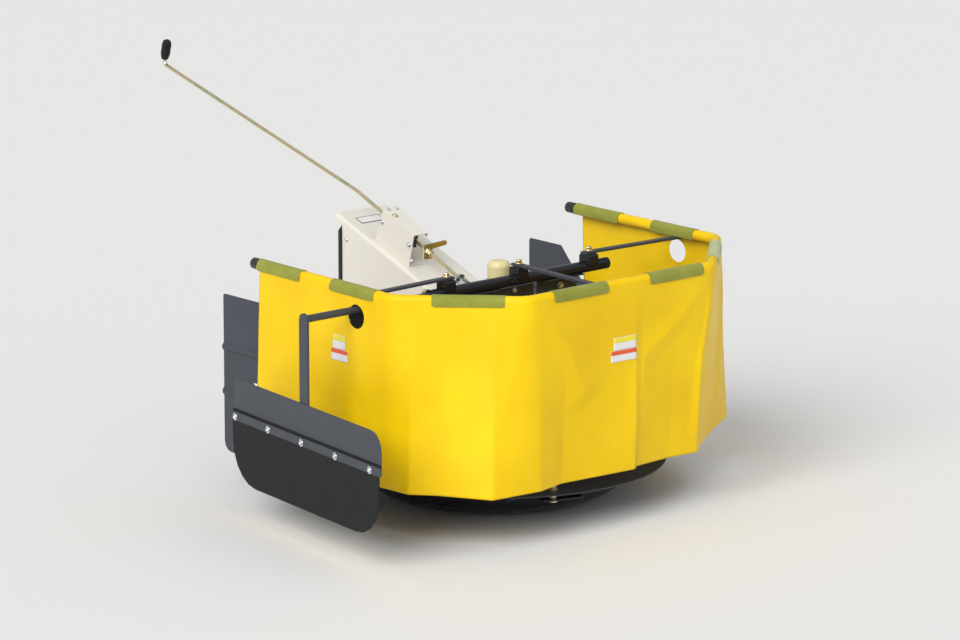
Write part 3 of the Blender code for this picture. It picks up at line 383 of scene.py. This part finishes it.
def hoop_path(step):
    """Arc length, points and outward directions along the hoop, from its left rear end."""
    corners = [Vector((x, y)) for x, y in HOOP_CORNERS]
    points = [corners[0]]
    for before, here, after in zip(corners, corners[1:], corners[2:]):
        a, b = (before - here).normalized(), (after - here).normalized()
        half = a.angle(b) / 2
        centre = here + (a + b).normalized() * (HOOP_BEND / math.sin(half))
        first = here + a * (HOOP_BEND / math.tan(half)) - centre
        last = here + b * (HOOP_BEND / math.tan(half)) - centre
        turn = first.angle(last)
        for k in range(13):
            f = k / 12
            arc = (first * math.sin((1 - f) * turn) + last * math.sin(f * turn)) / math.sin(turn)
            points.append(centre + arc)
    points.append(corners[-1])
    xy = np.array([tuple(p) for p in points])
    length = np.concatenate([[0], np.cumsum(np.hypot(*np.diff(xy, axis=0).T))])
    count = round((length[-1] - 2 * APRON_TRIM) / step)
    s = np.linspace(APRON_TRIM, length[-1] - APRON_TRIM, count + 1)
    plan = np.stack([np.interp(s, length, xy[:, 0]), np.interp(s, length, xy[:, 1])], 1)
    ahead = np.gradient(plan, axis=0)
    ahead /= np.linalg.norm(ahead, axis=1)[:, None]
    outward = np.stack([ahead[:, 1], -ahead[:, 0]], 1)
    return s, plan, outward


def place_on_hoop(side, distance):
    """Arc length of a point given by a side of the hoop and its distance from that corner."""
    corners = [Vector((x, y)) for x, y in HOOP_CORNERS]
    cut = 2 * HOOP_BEND * math.tan(CORNER_TURN / 2) - HOOP_BEND * CORNER_TURN
    before = sum((b - a).length for a, b in zip(corners[:side], corners[1:side + 1]))
    return before + distance - cut * side


# Folds that run to the hem: where each hangs on the hoop (side, distance) and where its foot
# stands in plan.
HEM_FOLDS = [
    ((0, 0.0275), (-0.517, 0.264)),
    ((0, 0.358), (-0.524, -0.070)),
    ((0, 0.450), (-0.514, -0.165)),
    ((1, 0.048), (-0.508, -0.284)),
    ((1, 0.120), (-0.462, -0.336)),
    ((1, 0.200), (-0.414, -0.420)),
    ((1, 0.230), (-0.398, -0.449)),
    ((2, 0.030), (-0.262, -0.458)),
    ((2, 0.110), (-0.180, -0.436)),
    ((2, 0.325), (0.036, -0.448)),
    ((2, 0.345), (0.058, -0.430)),
    ((2, 0.450), (0.168, -0.419)),
    ((2, 0.530), (0.254, -0.424)),
    ((3, 0.020), (0.306, -0.380)),
    ((3, 0.175), (0.428, -0.292)),
    ((3, 0.270), (0.540, -0.222)),
    ((4, 0.080), (0.532, -0.120)),
    ((4, 0.300), (0.512, 0.060)),
    ((4, 0.4876), (0.500, 0.250)),
]

# Folds that start at the hoop's corners: points (side, distance, depth below the hoop),
# height of the ridge, and its half width at both ends.
CORNER_FOLDS = [
    ([(1, 0.02, 0.00), (1, 0.05, 0.09), (1, 0.048, 0.30)], 0.0050, 0.020, 0.050),
    ([(2, 0.02, 0.00), (2, 0.10, 0.10), (2, 0.19, 0.26)], 0.0080, 0.025, 0.110),
    ([(1, 0.29, 0.00), (1, 0.28, 0.12), (1, 0.25, 0.28)], 0.0040, 0.016, 0.040),
    ([(2, 0.56, 0.00), (2, 0.47, 0.10), (2, 0.355, 0.18), (2, 0.338, 0.40)],
     0.0050, 0.022, 0.065),
    ([(2, 0.565, 0.02), (2, 0.538, 0.20), (2, 0.520, 0.42)], 0.0060, 0.010, 0.030),
    ([(3, 0.03, 0.00), (3, 0.06, 0.20), (3, 0.08, 0.42)], -0.0040, 0.014, 0.035),
    ([(3, 0.28, 0.00), (3, 0.24, 0.15), (3, 0.20, 0.40)], 0.0050, 0.016, 0.040),
    ([(0, 0.30, 0.05), (0, 0.40, 0.25), (0, 0.47, 0.42)], -0.0025, 0.040, 0.060),
    ([(4, 0.06, 0.02), (4, 0.16, 0.18), (4, 0.22, 0.40)], 0.0050, 0.030, 0.070),
]


def ridge(s, depth, points, height, near, far):
    """Height of a fold that follows a line on the sheet."""
    line = [(place_on_hoop(side, distance), down) for side, distance, down in points]
    total = sum(math.dist(a, b) for a, b in zip(line, line[1:]))
    best = np.full(s.shape, 9.0)
    along = np.zeros(s.shape)
    walked = 0.0
    for a, b in zip(line, line[1:]):
        a, b = np.array(a), np.array(b)
        span = np.linalg.norm(b - a)
        t = np.clip(((s - a[0]) * (b - a)[0] + (depth - a[1]) * (b - a)[1]) / span ** 2, 0, 1)
        away = np.hypot(s - a[0] - t * (b - a)[0], depth - a[1] - t * (b - a)[1])
        closer = away < best
        best = np.where(closer, away, best)
        along = np.where(closer, (walked + t * span) / total, along)
        walked += span
    width = near + (far - near) * along
    shape = np.clip(1 - best / width, 0, 1)
    fade_out = 1 - smooth_step(along, 0.86, 1.02)
    return height * shape ** 1.5 * smooth_step(along, -0.05, 0.12) * fade_out


def rolling(s, depth):
    """Slow swells of the sheet, the same on every run."""
    result = np.zeros(s.shape)
    for index, value in np.ndenumerate(s):
        result[index] = noise.noise(Vector((value * 5.0, depth[index] * 4.0, 3.7)))
    return result


def fold_heights(s, grid_s, grid_d):
    """How far the folds and swells stand off the plain sheet, at each point of the grid."""
    bulge = np.zeros(grid_s.shape)
    for points, height, near, far in CORNER_FOLDS:
        bulge += ridge(grid_s, grid_d, points, height, near, far)
    swell = rolling(grid_s[::3, ::3], grid_d[::3, ::3])
    rough = np.zeros(grid_s.shape)
    for i in range(len(s)):
        near_i = min(i / 3, swell.shape[0] - 1)
        i0 = min(int(near_i), swell.shape[0] - 2)
        column = swell[i0] + (swell[i0 + 1] - swell[i0]) * min(1.0, near_i - i0)
        rough[i] = np.interp(grid_d[i], grid_d[0, ::3], column)
    return (bulge + 0.0035 * rough) * smooth_step(grid_d, 0.0, 0.16)


def gathers(s):
    """Puckers where the cloth is pulled round the hoop's bends."""
    gather = np.zeros(s.shape)
    for side in (1, 2, 3, 4):
        centre = place_on_hoop(side, 0.0)
        gather += np.exp(-((s - centre) / 0.034) ** 2)
    return gather * np.sin(s * 2 * math.pi / 0.0125 + 1.3 * np.sin(s * 40))


def cut_arm_hole(obj, side, hole_y, hole_z):
    tool_bm = bmesh.new()
    bmesh.ops.create_cone(tool_bm, segments=48, radius1=ARM_HOLE_R, radius2=ARM_HOLE_R,
                          depth=0.12, cap_ends=True)
    turn = Matrix.Rotation(math.radians(90), 4, "Y")
    tool_bm.transform(Matrix.Translation((side * 0.515, hole_y, hole_z)) @ turn)
    mesh = bpy.data.meshes.new("hole")
    tool_bm.to_mesh(mesh)
    tool_bm.free()
    tool = bpy.data.objects.new("hole_tool", mesh)
    bpy.context.scene.collection.objects.link(tool)
    cut = obj.modifiers.new("hole", "BOOLEAN")
    cut.operation = "DIFFERENCE"
    cut.object = tool
    apply_modifiers(obj)
    bpy.data.objects.remove(tool)


def make_apron():
    """The tarpaulin: wrapped round the hoop, then falling to the hem through its folds."""
    s, plan, outward = hoop_path(0.0045)
    keys = [place_on_hoop(*hang) for hang, _ in HEM_FOLDS]
    hem = np.stack([np.interp(s, keys, [foot[k] for _, foot in HEM_FOLDS]) for k in (0, 1)], 1)
    top = plan + outward * SHEET_R
    wrap = np.radians(np.linspace(WRAP_DEGREES, 0, 18))   # from under the hoop over its top
    drop = HOOP_Z - HEM_Z
    rows = 92
    downs = np.linspace(0, 1, rows + 1)[1:]
    grid_s, grid_d = np.meshgrid(s, downs * drop, indexing="ij")
    bulge = fold_heights(s, grid_s, grid_d)
    pucker = gathers(s)

    vertices = []
    for i in range(len(s)):
        away = np.array([outward[i, 0], outward[i, 1], 0.0])
        centre = np.array([plan[i, 0], plan[i, 1], HOOP_Z])
        for angle in wrap:
            lift = 0.0011 * max(0.0, pucker[i]) * math.sin(max(0.0, min(angle, math.pi)))
            lift += 0.0004 * max(0.0, math.sin(s[i] * 61 + angle * 3))
            r = SHEET_R + lift
            vertices.append(centre + away * r * math.cos(angle)
                            + np.array([0, 0, r * math.sin(angle)]))
        for j, f in enumerate(downs):
            base = top[i] + (hem[i] - top[i]) * f ** 1.12
            crease = 0.0009 * pucker[i] * math.exp(-f * drop / 0.030)
            offset = bulge[i, j] + crease
            vertices.append(np.array([base[0] + outward[i][0] * offset,
                                      base[1] + outward[i][1] * offset, HOOP_Z - f * drop]))
    across = len(wrap) + rows
    bm = bmesh.new()
    verts = [bm.verts.new(v) for v in vertices]
    uv = bm.loops.layers.uv.new("flat")
    heights = np.concatenate([np.abs(np.cumsum(np.r_[0, np.diff(wrap)])) * SHEET_R,
                              np.radians(WRAP_DEGREES) * SHEET_R + downs * drop])
    for i in range(len(s) - 1):
        for j in range(across - 1):
            corner = [(i, j), (i + 1, j), (i + 1, j + 1), (i, j + 1)]
            face = bm.faces.new([verts[a * across + b] for a, b in corner])
            for loop, (a, b) in zip(face.loops, corner):
                loop[uv].uv = (s[a], heights[b])
    obj = piece("apron_cloth", bm, "yellow_sheet", "chassis", smooth=60)
    thick = obj.modifiers.new("thickness", "SOLIDIFY")
    thick.thickness = SHEET
    thick.offset = 0.0
    for side, hole_y, hole_z in ARM_HOLES:
        cut_arm_hole(obj, side, hole_y, hole_z)
    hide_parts("apron")
    return obj


def apply_modifiers(obj):
    """Makes the evaluated mesh the object's own."""
    graph = bpy.context.evaluated_depsgraph_get()
    mesh = bpy.data.meshes.new_from_object(obj.evaluated_get(graph))
    obj.modifiers.clear()
    obj.data = mesh


APRON = make_apron()


# ---------------------------------------------------------------- hook-and-loop tabs

def make_tab(name, side, first, last, number):
    """A strip wrapped over the apron and the hoop; its outer edge hangs a little free."""
    a, b = (Vector((*HOOP_CORNERS[k], HOOP_Z)) for k in (side, side + 1))
    along = (b - a).normalized()
    out = Vector((along.y, -along.x, 0))
    lower_outer, lower_inner = 0.0115, 0.0105
    count = 46
    profile = [(TAB_R + 0.0006, -lower_outer + 0.0038 * k) for k in range(3)]
    profile += [(TAB_R * math.cos(t), TAB_R * math.sin(t))
                for t in (math.pi * k / 20 for k in range(21))]
    profile += [(-TAB_R - 0.0002, -lower_inner * k / 2) for k in (1, 2)]
    bm = bmesh.new()
    uv = bm.loops.layers.uv.new("flat")
    walked = [0.0]
    for p, q in zip(profile, profile[1:]):
        walked.append(walked[-1] + math.dist(p, q))
    grid = []
    for i in range(count + 1):
        f = i / count
        distance = first + (last - first) * f
        end = min(f, 1 - f) * (last - first)
        row = []
        for j, (o, z) in enumerate(profile):
            corner = 1 - min(1.0, end / 0.010)
            fold = 0.0006 * noise.noise(Vector((distance * 60, j * 0.35, number * 7.1)))
            wide = 0.0009 * noise.noise(Vector((distance * 16, j * 0.12, number * 3.3 + 50)))
            lift = 0.0012 * corner ** 2 * (1 if j < 4 else 0.25) + max(0.0, fold + wide)
            radial = Vector((o, z)).normalized() if z > 0 else Vector((math.copysign(1, o), 0))
            drop = 0.004 * corner ** 2 if j == 0 else 0.0
            place = a + along * distance + out * (o + radial.x * lift)
            place.z += z + radial.y * lift + drop
            row.append(bm.verts.new(place))
        grid.append(row)
    for i in range(count):
        for j in range(len(profile) - 1):
            corner = [(i, j), (i, j + 1), (i + 1, j + 1), (i + 1, j)]
            face = bm.faces.new([grid[p][q] for p, q in corner])
            for loop, (p, q) in zip(face.loops, corner):
                loop[uv].uv = ((last - first) * p / count, walked[q])
    material = "pale_tab" if name == "tab_right_corner" else "green_tab"
    obj = piece(name + "_cloth", bm, material, "chassis", smooth=70)
    thick = obj.modifiers.new("thickness", "SOLIDIFY")
    thick.thickness = TAB_THICK
    thick.offset = 0.0
    soft = obj.modifiers.new("soft_edge", "BEVEL")
    soft.width = 0.0004
    soft.segments = 2
    soft.limit_method = "ANGLE"
    apply_modifiers(obj)
    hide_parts(name)


for number, (tab, (side, first, last)) in enumerate(TABS.items()):
    make_tab(tab, side, first, last, number)


# ---------------------------------------------------------------- small fittings

def disc(radius, z, sides=12):
    steps = (2 * math.pi * k / sides for k in range(sides))
    return [(radius * math.cos(a), radius * math.sin(a), z) for a in steps]


def hex_head(name, body, place, flats, height, washer_r=0.0, washer=0.0, finish="zinc_clear"):
    """Hex bolt head or nut standing on local +Z, with a chamfered top and a shank's end."""
    bm = bmesh.new()
    if washer:
        loft(bm, [disc(washer_r, 0.0, 24), disc(washer_r, washer * 0.8, 24),
                  disc(washer_r * 0.95, washer, 24)])
    corner = flats / math.sqrt(3)
    radii = [corner if k % 2 == 0 else flats / 2 for k in range(12)]
    low = [(x * r, y * r, washer) for (x, y, _), r in zip(disc(1.0, 0), radii)]
    side = [(x, y, washer + height * 0.86) for x, y, _ in low]
    loft(bm, [low, side, disc(flats * 0.46, washer + height)])
    shank = washer + height
    loft(bm, [disc(flats * 0.27, shank - 0.0005, 16), disc(flats * 0.27, shank + 0.0012, 16),
              disc(flats * 0.22, shank + 0.0018, 16)])
    return piece(name, bm, finish, body, matrix=place, smooth=30)


def round_head(name, body, place, radius, height, finish="zinc_clear", washer_r=0.0):
    """Pan-headed screw on a flat washer."""
    bm = bmesh.new()
    base = 0.0
    if washer_r:
        base = 0.0010
        loft(bm, [disc(washer_r, 0.0, 24), disc(washer_r, base, 24)])
    rings = [disc(radius, base, 20), disc(radius, base + height * 0.45, 20)]
    rings += [disc(radius * math.cos(a), base + height * (0.45 + 0.55 * math.sin(a)), 20)
              for a in (math.radians(d) for d in (30, 55, 75))]
    loft(bm, rings)
    slot = radius * 0.22
    for turn in (0, 90):
        bar = bmesh.new()
        bmesh.ops.create_cube(bar, size=1.0)
        bar.transform(Matrix.Rotation(math.radians(turn), 4, "Z")
                      @ Matrix.Diagonal((radius * 1.1, slot, 0.0006, 1.0)))
        bar.transform(Matrix.Translation((0, 0, base + height)))
        scratch = bpy.data.meshes.new("slot")
        bar.to_mesh(scratch)
        bar.free()
        bm.from_mesh(scratch)
        bpy.data.meshes.remove(scratch)
    return piece(name, bm, finish, body, matrix=place, smooth=35)


def bead(name, body, points, radius, finish):
    """Weld bead: a rippled seam along a line."""
    path = [Vector(p) for p in points]
    rings = []
    step = 0.0016
    walked = 0.0
    for a, b in zip(path, path[1:]):
        along = (b - a).normalized()
        side = along.orthogonal().normalized()
        up = along.cross(side)
        count = max(2, round((b - a).length / step))
        for k in range(count + (1 if b is path[-1] else 0)):
            here = a + (b - a) * (k / count)
            ripple = radius * (0.86 + 0.14 * math.sin((walked + k) * 2.1))
            rings.append([here + side * x * ripple + up * y * ripple
                          for x, y, _ in disc(1.0, 0, 8)])
        walked += count
    return piece(name, loft(bmesh.new(), rings), finish, body, smooth=70)


def facing(origin, direction):
    """Matrix whose local Z points along direction."""
    z = Vector(direction).normalized()
    x = z.orthogonal().normalized()
    rows = Matrix((x, z.cross(x), z)).transposed().to_4x4()
    return Matrix.Translation(Vector(origin)) @ rows


def plate(name, body, corners, thick, finish):
    """Thin flat plate: corners in order, thickness along their normal."""
    points = [Vector(c) for c in corners]
    normal = (points[1] - points[0]).cross(points[2] - points[1]).normalized()
    rings = [points, [p + normal * thick for p in points]]
    return piece(name, loft(bmesh.new(), rings), finish, body, smooth=30)


def board_point(s, z, out):
    """Point on the swath board: forward along it, up, and away from the machine."""
    c, w = math.cos(BOARD_TURN), math.sin(BOARD_TURN)
    return BOARD_ORIGIN + Vector((-w * s - c * out, -c * s + w * out, z))


def make_board_fittings():
    away = Vector((-math.cos(BOARD_TURN), math.sin(BOARD_TURN), 0))
    for k in range(5):
        s = -0.289 + FLAP_BOLT_PITCH * k
        front, behind = board_point(s, FLAP_BOLT_Z, STRIP_FACE), board_point(s, FLAP_BOLT_Z, 0.0032)
        round_head("flap_bolt_%d" % k, "board", facing(front, away), 0.0052, 0.0042,
                   washer_r=0.0088)
        hex_head("flap_nut_%d" % k, "board", facing(behind, -away), 0.010, 0.005, 0.0080, 0.0012)
    # Dark rubber strip along the top of the clamp strip: painted shade, standing in for the shadow
    # gap between the plate and the strip.
    low, high = STRIP_TOP + 0.0004, STRIP_TOP + 0.0046
    rings = [[board_point(s, z, out) for z, out in ((low, 0.0062), (high, 0.0062), (high, 0.0078),
                                                    (low, 0.0098))]
             for s in (BOARD_REAR + 0.001, BOARD_FRONT - 0.001)]
    piece("painted_shadow_gap_strip", loft(bmesh.new(), rings), "rubber", "board", smooth=30)
    ring = [board_point(0.0098 * math.cos(a), CROSS_Z + 0.0098 * math.sin(a), -0.0042)
            for a in (2 * math.pi * k / 20 for k in range(21))]
    bead("arm_weld", "board", ring, 0.0022, "slate_paint")
    for edge in (-0.0165, 0.0165):
        bead("bar_weld_%s" % ("rear" if edge < 0 else "front"), "board",
             [board_point(edge, 0.262, 0.0022), board_point(edge, 0.322, 0.0022)], 0.0018,
             "slate_paint")


def make_case_fittings():
    hex_head("case_bolt_front", "chassis", facing((-0.002, -0.0716, 0.4945), (0, -1, 0)),
             0.0100, 0.0040, 0.0062, 0.0008)
    for side in (-1, 1):
        tag = "left" if side < 0 else "right"
        for name, x, z in (("carrier_bolt_", 0.1373, 0.4873), ("carrier_lower_", 0.120, 0.395)):
            hex_head(name + tag, "chassis", facing((side * x, CARRIER_FRONT, z), (0, -1, 0)),
                     0.0110, 0.0060, 0.0078, 0.0012)
        for k, y in enumerate((0.055, 0.112)):
            hex_head("lid_bolt_%s_%d" % (tag, k), "chassis",
                     facing((side * 0.0600, y, 0.4702), (0, 0, 1)), 0.0090, 0.0045, 0.0070, 0.0010)
        for k, z in enumerate((0.5425, 0.430)):
            round_head("cover_screw_%s_%d" % (tag, k), "chassis",
                       facing((side * 0.0802, 0.4485, z), (side, 0, 0)), 0.0042, 0.0030,
                       washer_r=0.0060)
        for k, z in enumerate((0.312, 0.340)):
            hex_head("flange_nut_%s_%d" % (tag, k), "chassis",
                     facing((side * 0.068, 0.4648, z), (0, -1, 0)), 0.0120, 0.0070, 0.0095, 0.0015)
        for k, y in enumerate((0.195, 0.250, 0.300)):
            hex_head("panel_bolt_%s_%d" % (tag, k), "chassis",
                     facing((side * 0.4796, y, 0.272), (side, 0, 0)), 0.0100, 0.0050, 0.0080, 0.0012)
    round_head("dome_bolt", "chassis", facing((-0.0070, 0.0240, 0.5031), (0, 0, 1)), 0.0042, 0.0050)
    for k in range(6):
        a = math.radians(60 * k + 20)
        hex_head("hub_bolt_%d" % k, "rotor",
                 facing((0.083 * math.cos(a), 0.083 * math.sin(a), 0.1256), (0, 0, 1)),
                 0.0130, 0.0080, 0.0105, 0.0015, "zinc_yellow")


def make_bracket_fittings():
    left = (-1, 0, 0)
    for k, (y, z) in enumerate(((0.3385, 0.6001), (0.2393, 0.5603))):
        round_head("bracket_screw_%d" % k, "chassis", facing((BRACKET_SIDE, y, z), left),
                   0.0046, 0.0040, washer_r=0.0068)
    hex_head("bracket_bolt", "chassis", facing((BRACKET_SIDE, 0.2285, 0.5240), left),
             0.0080, 0.0040)
    up = (0, -0.3956, 0.9184)
    lift = Vector(up) * 0.0002
    for name, spot in (("bracket_nut_a", (-0.0545, 0.3236, 0.6307)),
                       ("bracket_nut_b", (-0.0311, 0.3223, 0.6301))):
        hex_head(name, "chassis", facing(Vector(spot) + lift, up), 0.0085, 0.0035)
    round_head("bracket_top_screw", "chassis", facing(Vector((-0.0535, 0.2987, 0.6200)) + lift, up),
               0.0052, 0.0040, finish="zinc_yellow", washer_r=0.0078)
    bm = bmesh.new()
    bmesh.ops.create_cube(bm, size=1.0)
    bm.transform(Matrix.Translation((-0.0553, 0.2280, 0.5655))
                 @ Matrix.Diagonal((0.006, 0.012, 0.018, 1)))
    piece("bracket_stop", bm, "black_plastic", "chassis", smooth=30)
    fall = math.tan(SLOPE)
    for name, inset, lift_by, finish in (("cover_label_edge", 0.0, 0.0, "label_black"),
                                         ("cover_label", 0.0022, 0.0003, "label_white")):
        corners = []
        for x, y in ((-0.0455 + inset, 0.4310 + inset), (0.0255 - inset, 0.4310 + inset),
                     (0.0255 - inset, 0.4565 - inset), (-0.0455 + inset, 0.4565 - inset)):
            corners.append((x, y, 0.5920 - (0.4647 - y) * fall + 0.0002 + lift_by))
        plate(name, "chassis", corners, 0.0003, finish)


def make_saddle_welds():
    for name, x in SADDLES.items():
        for side in (-1, 1):
            y = CROSS_Y + side * 0.0142
            bead("saddle_weld_%s_%s" % (name, "front" if side < 0 else "rear"), "chassis",
                 [(x - 0.0145, y, 0.5306), (x + 0.0145, y, 0.5306)], 0.0016, "black_paint")


def make_apron_label(name, side, across, height, finish, lift):
    """Blank label laid on the apron's left or front face."""
    graph = bpy.context.evaluated_depsgraph_get()
    tree = BVHTree.FromObject(APRON, graph)
    to_world = APRON.matrix_world
    aim = Vector((1, 0, 0)) if side == "left" else Vector((0, 1, 0))
    bm = bmesh.new()
    columns, rows = 14, 10
    grid = []
    for i in range(columns + 1):
        line = []
        for j in range(rows + 1):
            a = across[0] + (across[1] - across[0]) * i / columns
            z = height[0] + (height[1] - height[0]) * j / rows
            start = Vector((-0.75, a, z)) if side == "left" else Vector((a, -0.75, z))
            hit, _, _, _ = tree.ray_cast(to_world.inverted() @ start, aim)
            line.append(bm.verts.new(to_world @ hit - aim * lift))
        grid.append(line)
    for i in range(columns):
        for j in range(rows):
            bm.faces.new((grid[i][j], grid[i + 1][j], grid[i + 1][j + 1], grid[i][j + 1]))
    obj = piece(name, bm, finish, "chassis", smooth=70)
    thick = obj.modifiers.new("thickness", "SOLIDIFY")
    thick.thickness = 0.00025
    thick.offset = 0.0
    apply_modifiers(obj)


def make_apron_labels():
    labels = (
        ("left_upper", "left", (-0.0250, -0.0700), (0.4275, 0.4600), "label_white", 0.0005),
        ("left_head", "left", (-0.0260, -0.0690), (0.4470, 0.4590), "label_yellow", 0.0008),
        ("left_lower", "left", (-0.0210, -0.0790), (0.4005, 0.4272), "label_white", 0.0005),
        ("left_band", "left", (-0.0215, -0.0785), (0.4175, 0.4268), "label_red", 0.0008),
        ("front_upper", "front", (-0.0290, 0.0405), (0.4188, 0.4490), "label_white", 0.0005),
        ("front_head", "front", (-0.0280, 0.0395), (0.4365, 0.4480), "label_yellow", 0.0008),
        ("front_lower", "front", (-0.0370, 0.0405), (0.3920, 0.4185), "label_white", 0.0005),
        ("front_band", "front", (-0.0365, 0.0400), (0.4080, 0.4180), "label_red", 0.0008),
    )
    for name, side, across, height, finish, lift in labels:
        make_apron_label("label_" + name, side, across, height, finish, lift)


make_board_fittings()
make_case_fittings()
make_bracket_fittings()
make_saddle_welds()
make_apron_labels()


# ---------------------------------------------------------------- floor, light and camera

def make_floor():
    bm = bmesh.new()
    bmesh.ops.create_circle(bm, cap_ends=True, radius=60.0, segments=96)
    mesh = bpy.data.meshes.new("floor")
    bm.to_mesh(mesh)
    bm.free()
    floor = bpy.data.objects.new("floor", mesh)
    bpy.context.scene.collection.objects.link(floor)
    look = Look("studio_floor", (0.80, 0.80, 0.80), 0.75)
    look.bump(look.noise(60.0, 3.0), 0.0004)
    mesh.materials.append(look.mat)


def sun(name, direction, strength, angle, colour):
    data = bpy.data.lights.new(name, "SUN")
    data.energy = strength
    data.angle = math.radians(angle)
    data.color = colour
    obj = bpy.data.objects.new(name, data)
    obj.rotation_mode = "QUATERNION"
    obj.rotation_quaternion = Vector(direction).to_track_quat("-Z", "Y")
    bpy.context.scene.collection.objects.link(obj)


def make_light():
    world = bpy.data.worlds.new("studio")
    bpy.context.scene.world = world
    world.use_nodes = True
    nodes, links = world.node_tree.nodes, world.node_tree.links
    back = nodes["Background"]
    coord = nodes.new("ShaderNodeTexCoord")
    split = nodes.new("ShaderNodeSeparateXYZ")
    ramp = nodes.new("ShaderNodeValToRGB")
    links.new(coord.outputs["Generated"], split.inputs["Vector"])
    links.new(split.outputs["Z"], ramp.inputs["Fac"])
    links.new(ramp.outputs["Color"], back.inputs["Color"])
    ramp.color_ramp.elements[0].position = 0.0
    ramp.color_ramp.elements[0].color = (0.62, 0.62, 0.64, 1)
    ramp.color_ramp.elements[1].position = 0.9
    ramp.color_ramp.elements[1].color = (1.0, 1.0, 1.0, 1)
    back.inputs["Strength"].default_value = 0.54
    sun("key", (0.95, 0.33, -0.72), 2.5, 40, (1.0, 0.985, 0.96))
    sun("fill", (0.05, 0.9, -0.5), 0.5, 80, (0.96, 0.98, 1.0))


def make_camera():
    azimuth, elevation = math.radians(-40.915), math.radians(12.887)
    back = Vector((math.sin(azimuth) * math.cos(elevation),
                   -math.cos(azimuth) * math.cos(elevation), math.sin(elevation)))
    data = bpy.data.cameras.new("camera")
    data.lens = 204.35
    data.sensor_width = 36.0
    data.clip_end = 200.0
    camera = bpy.data.objects.new("camera", data)
    camera.location = (-8.1859, -9.3917, 3.2610)
    camera.rotation_mode = "QUATERNION"
    camera.rotation_quaternion = (-back).to_track_quat("-Z", "Y")
    bpy.context.scene.collection.objects.link(camera)
    bpy.context.scene.camera = camera


make_floor()
make_light()
make_camera()
bpy.context.scene.view_settings.view_transform = "Standard"
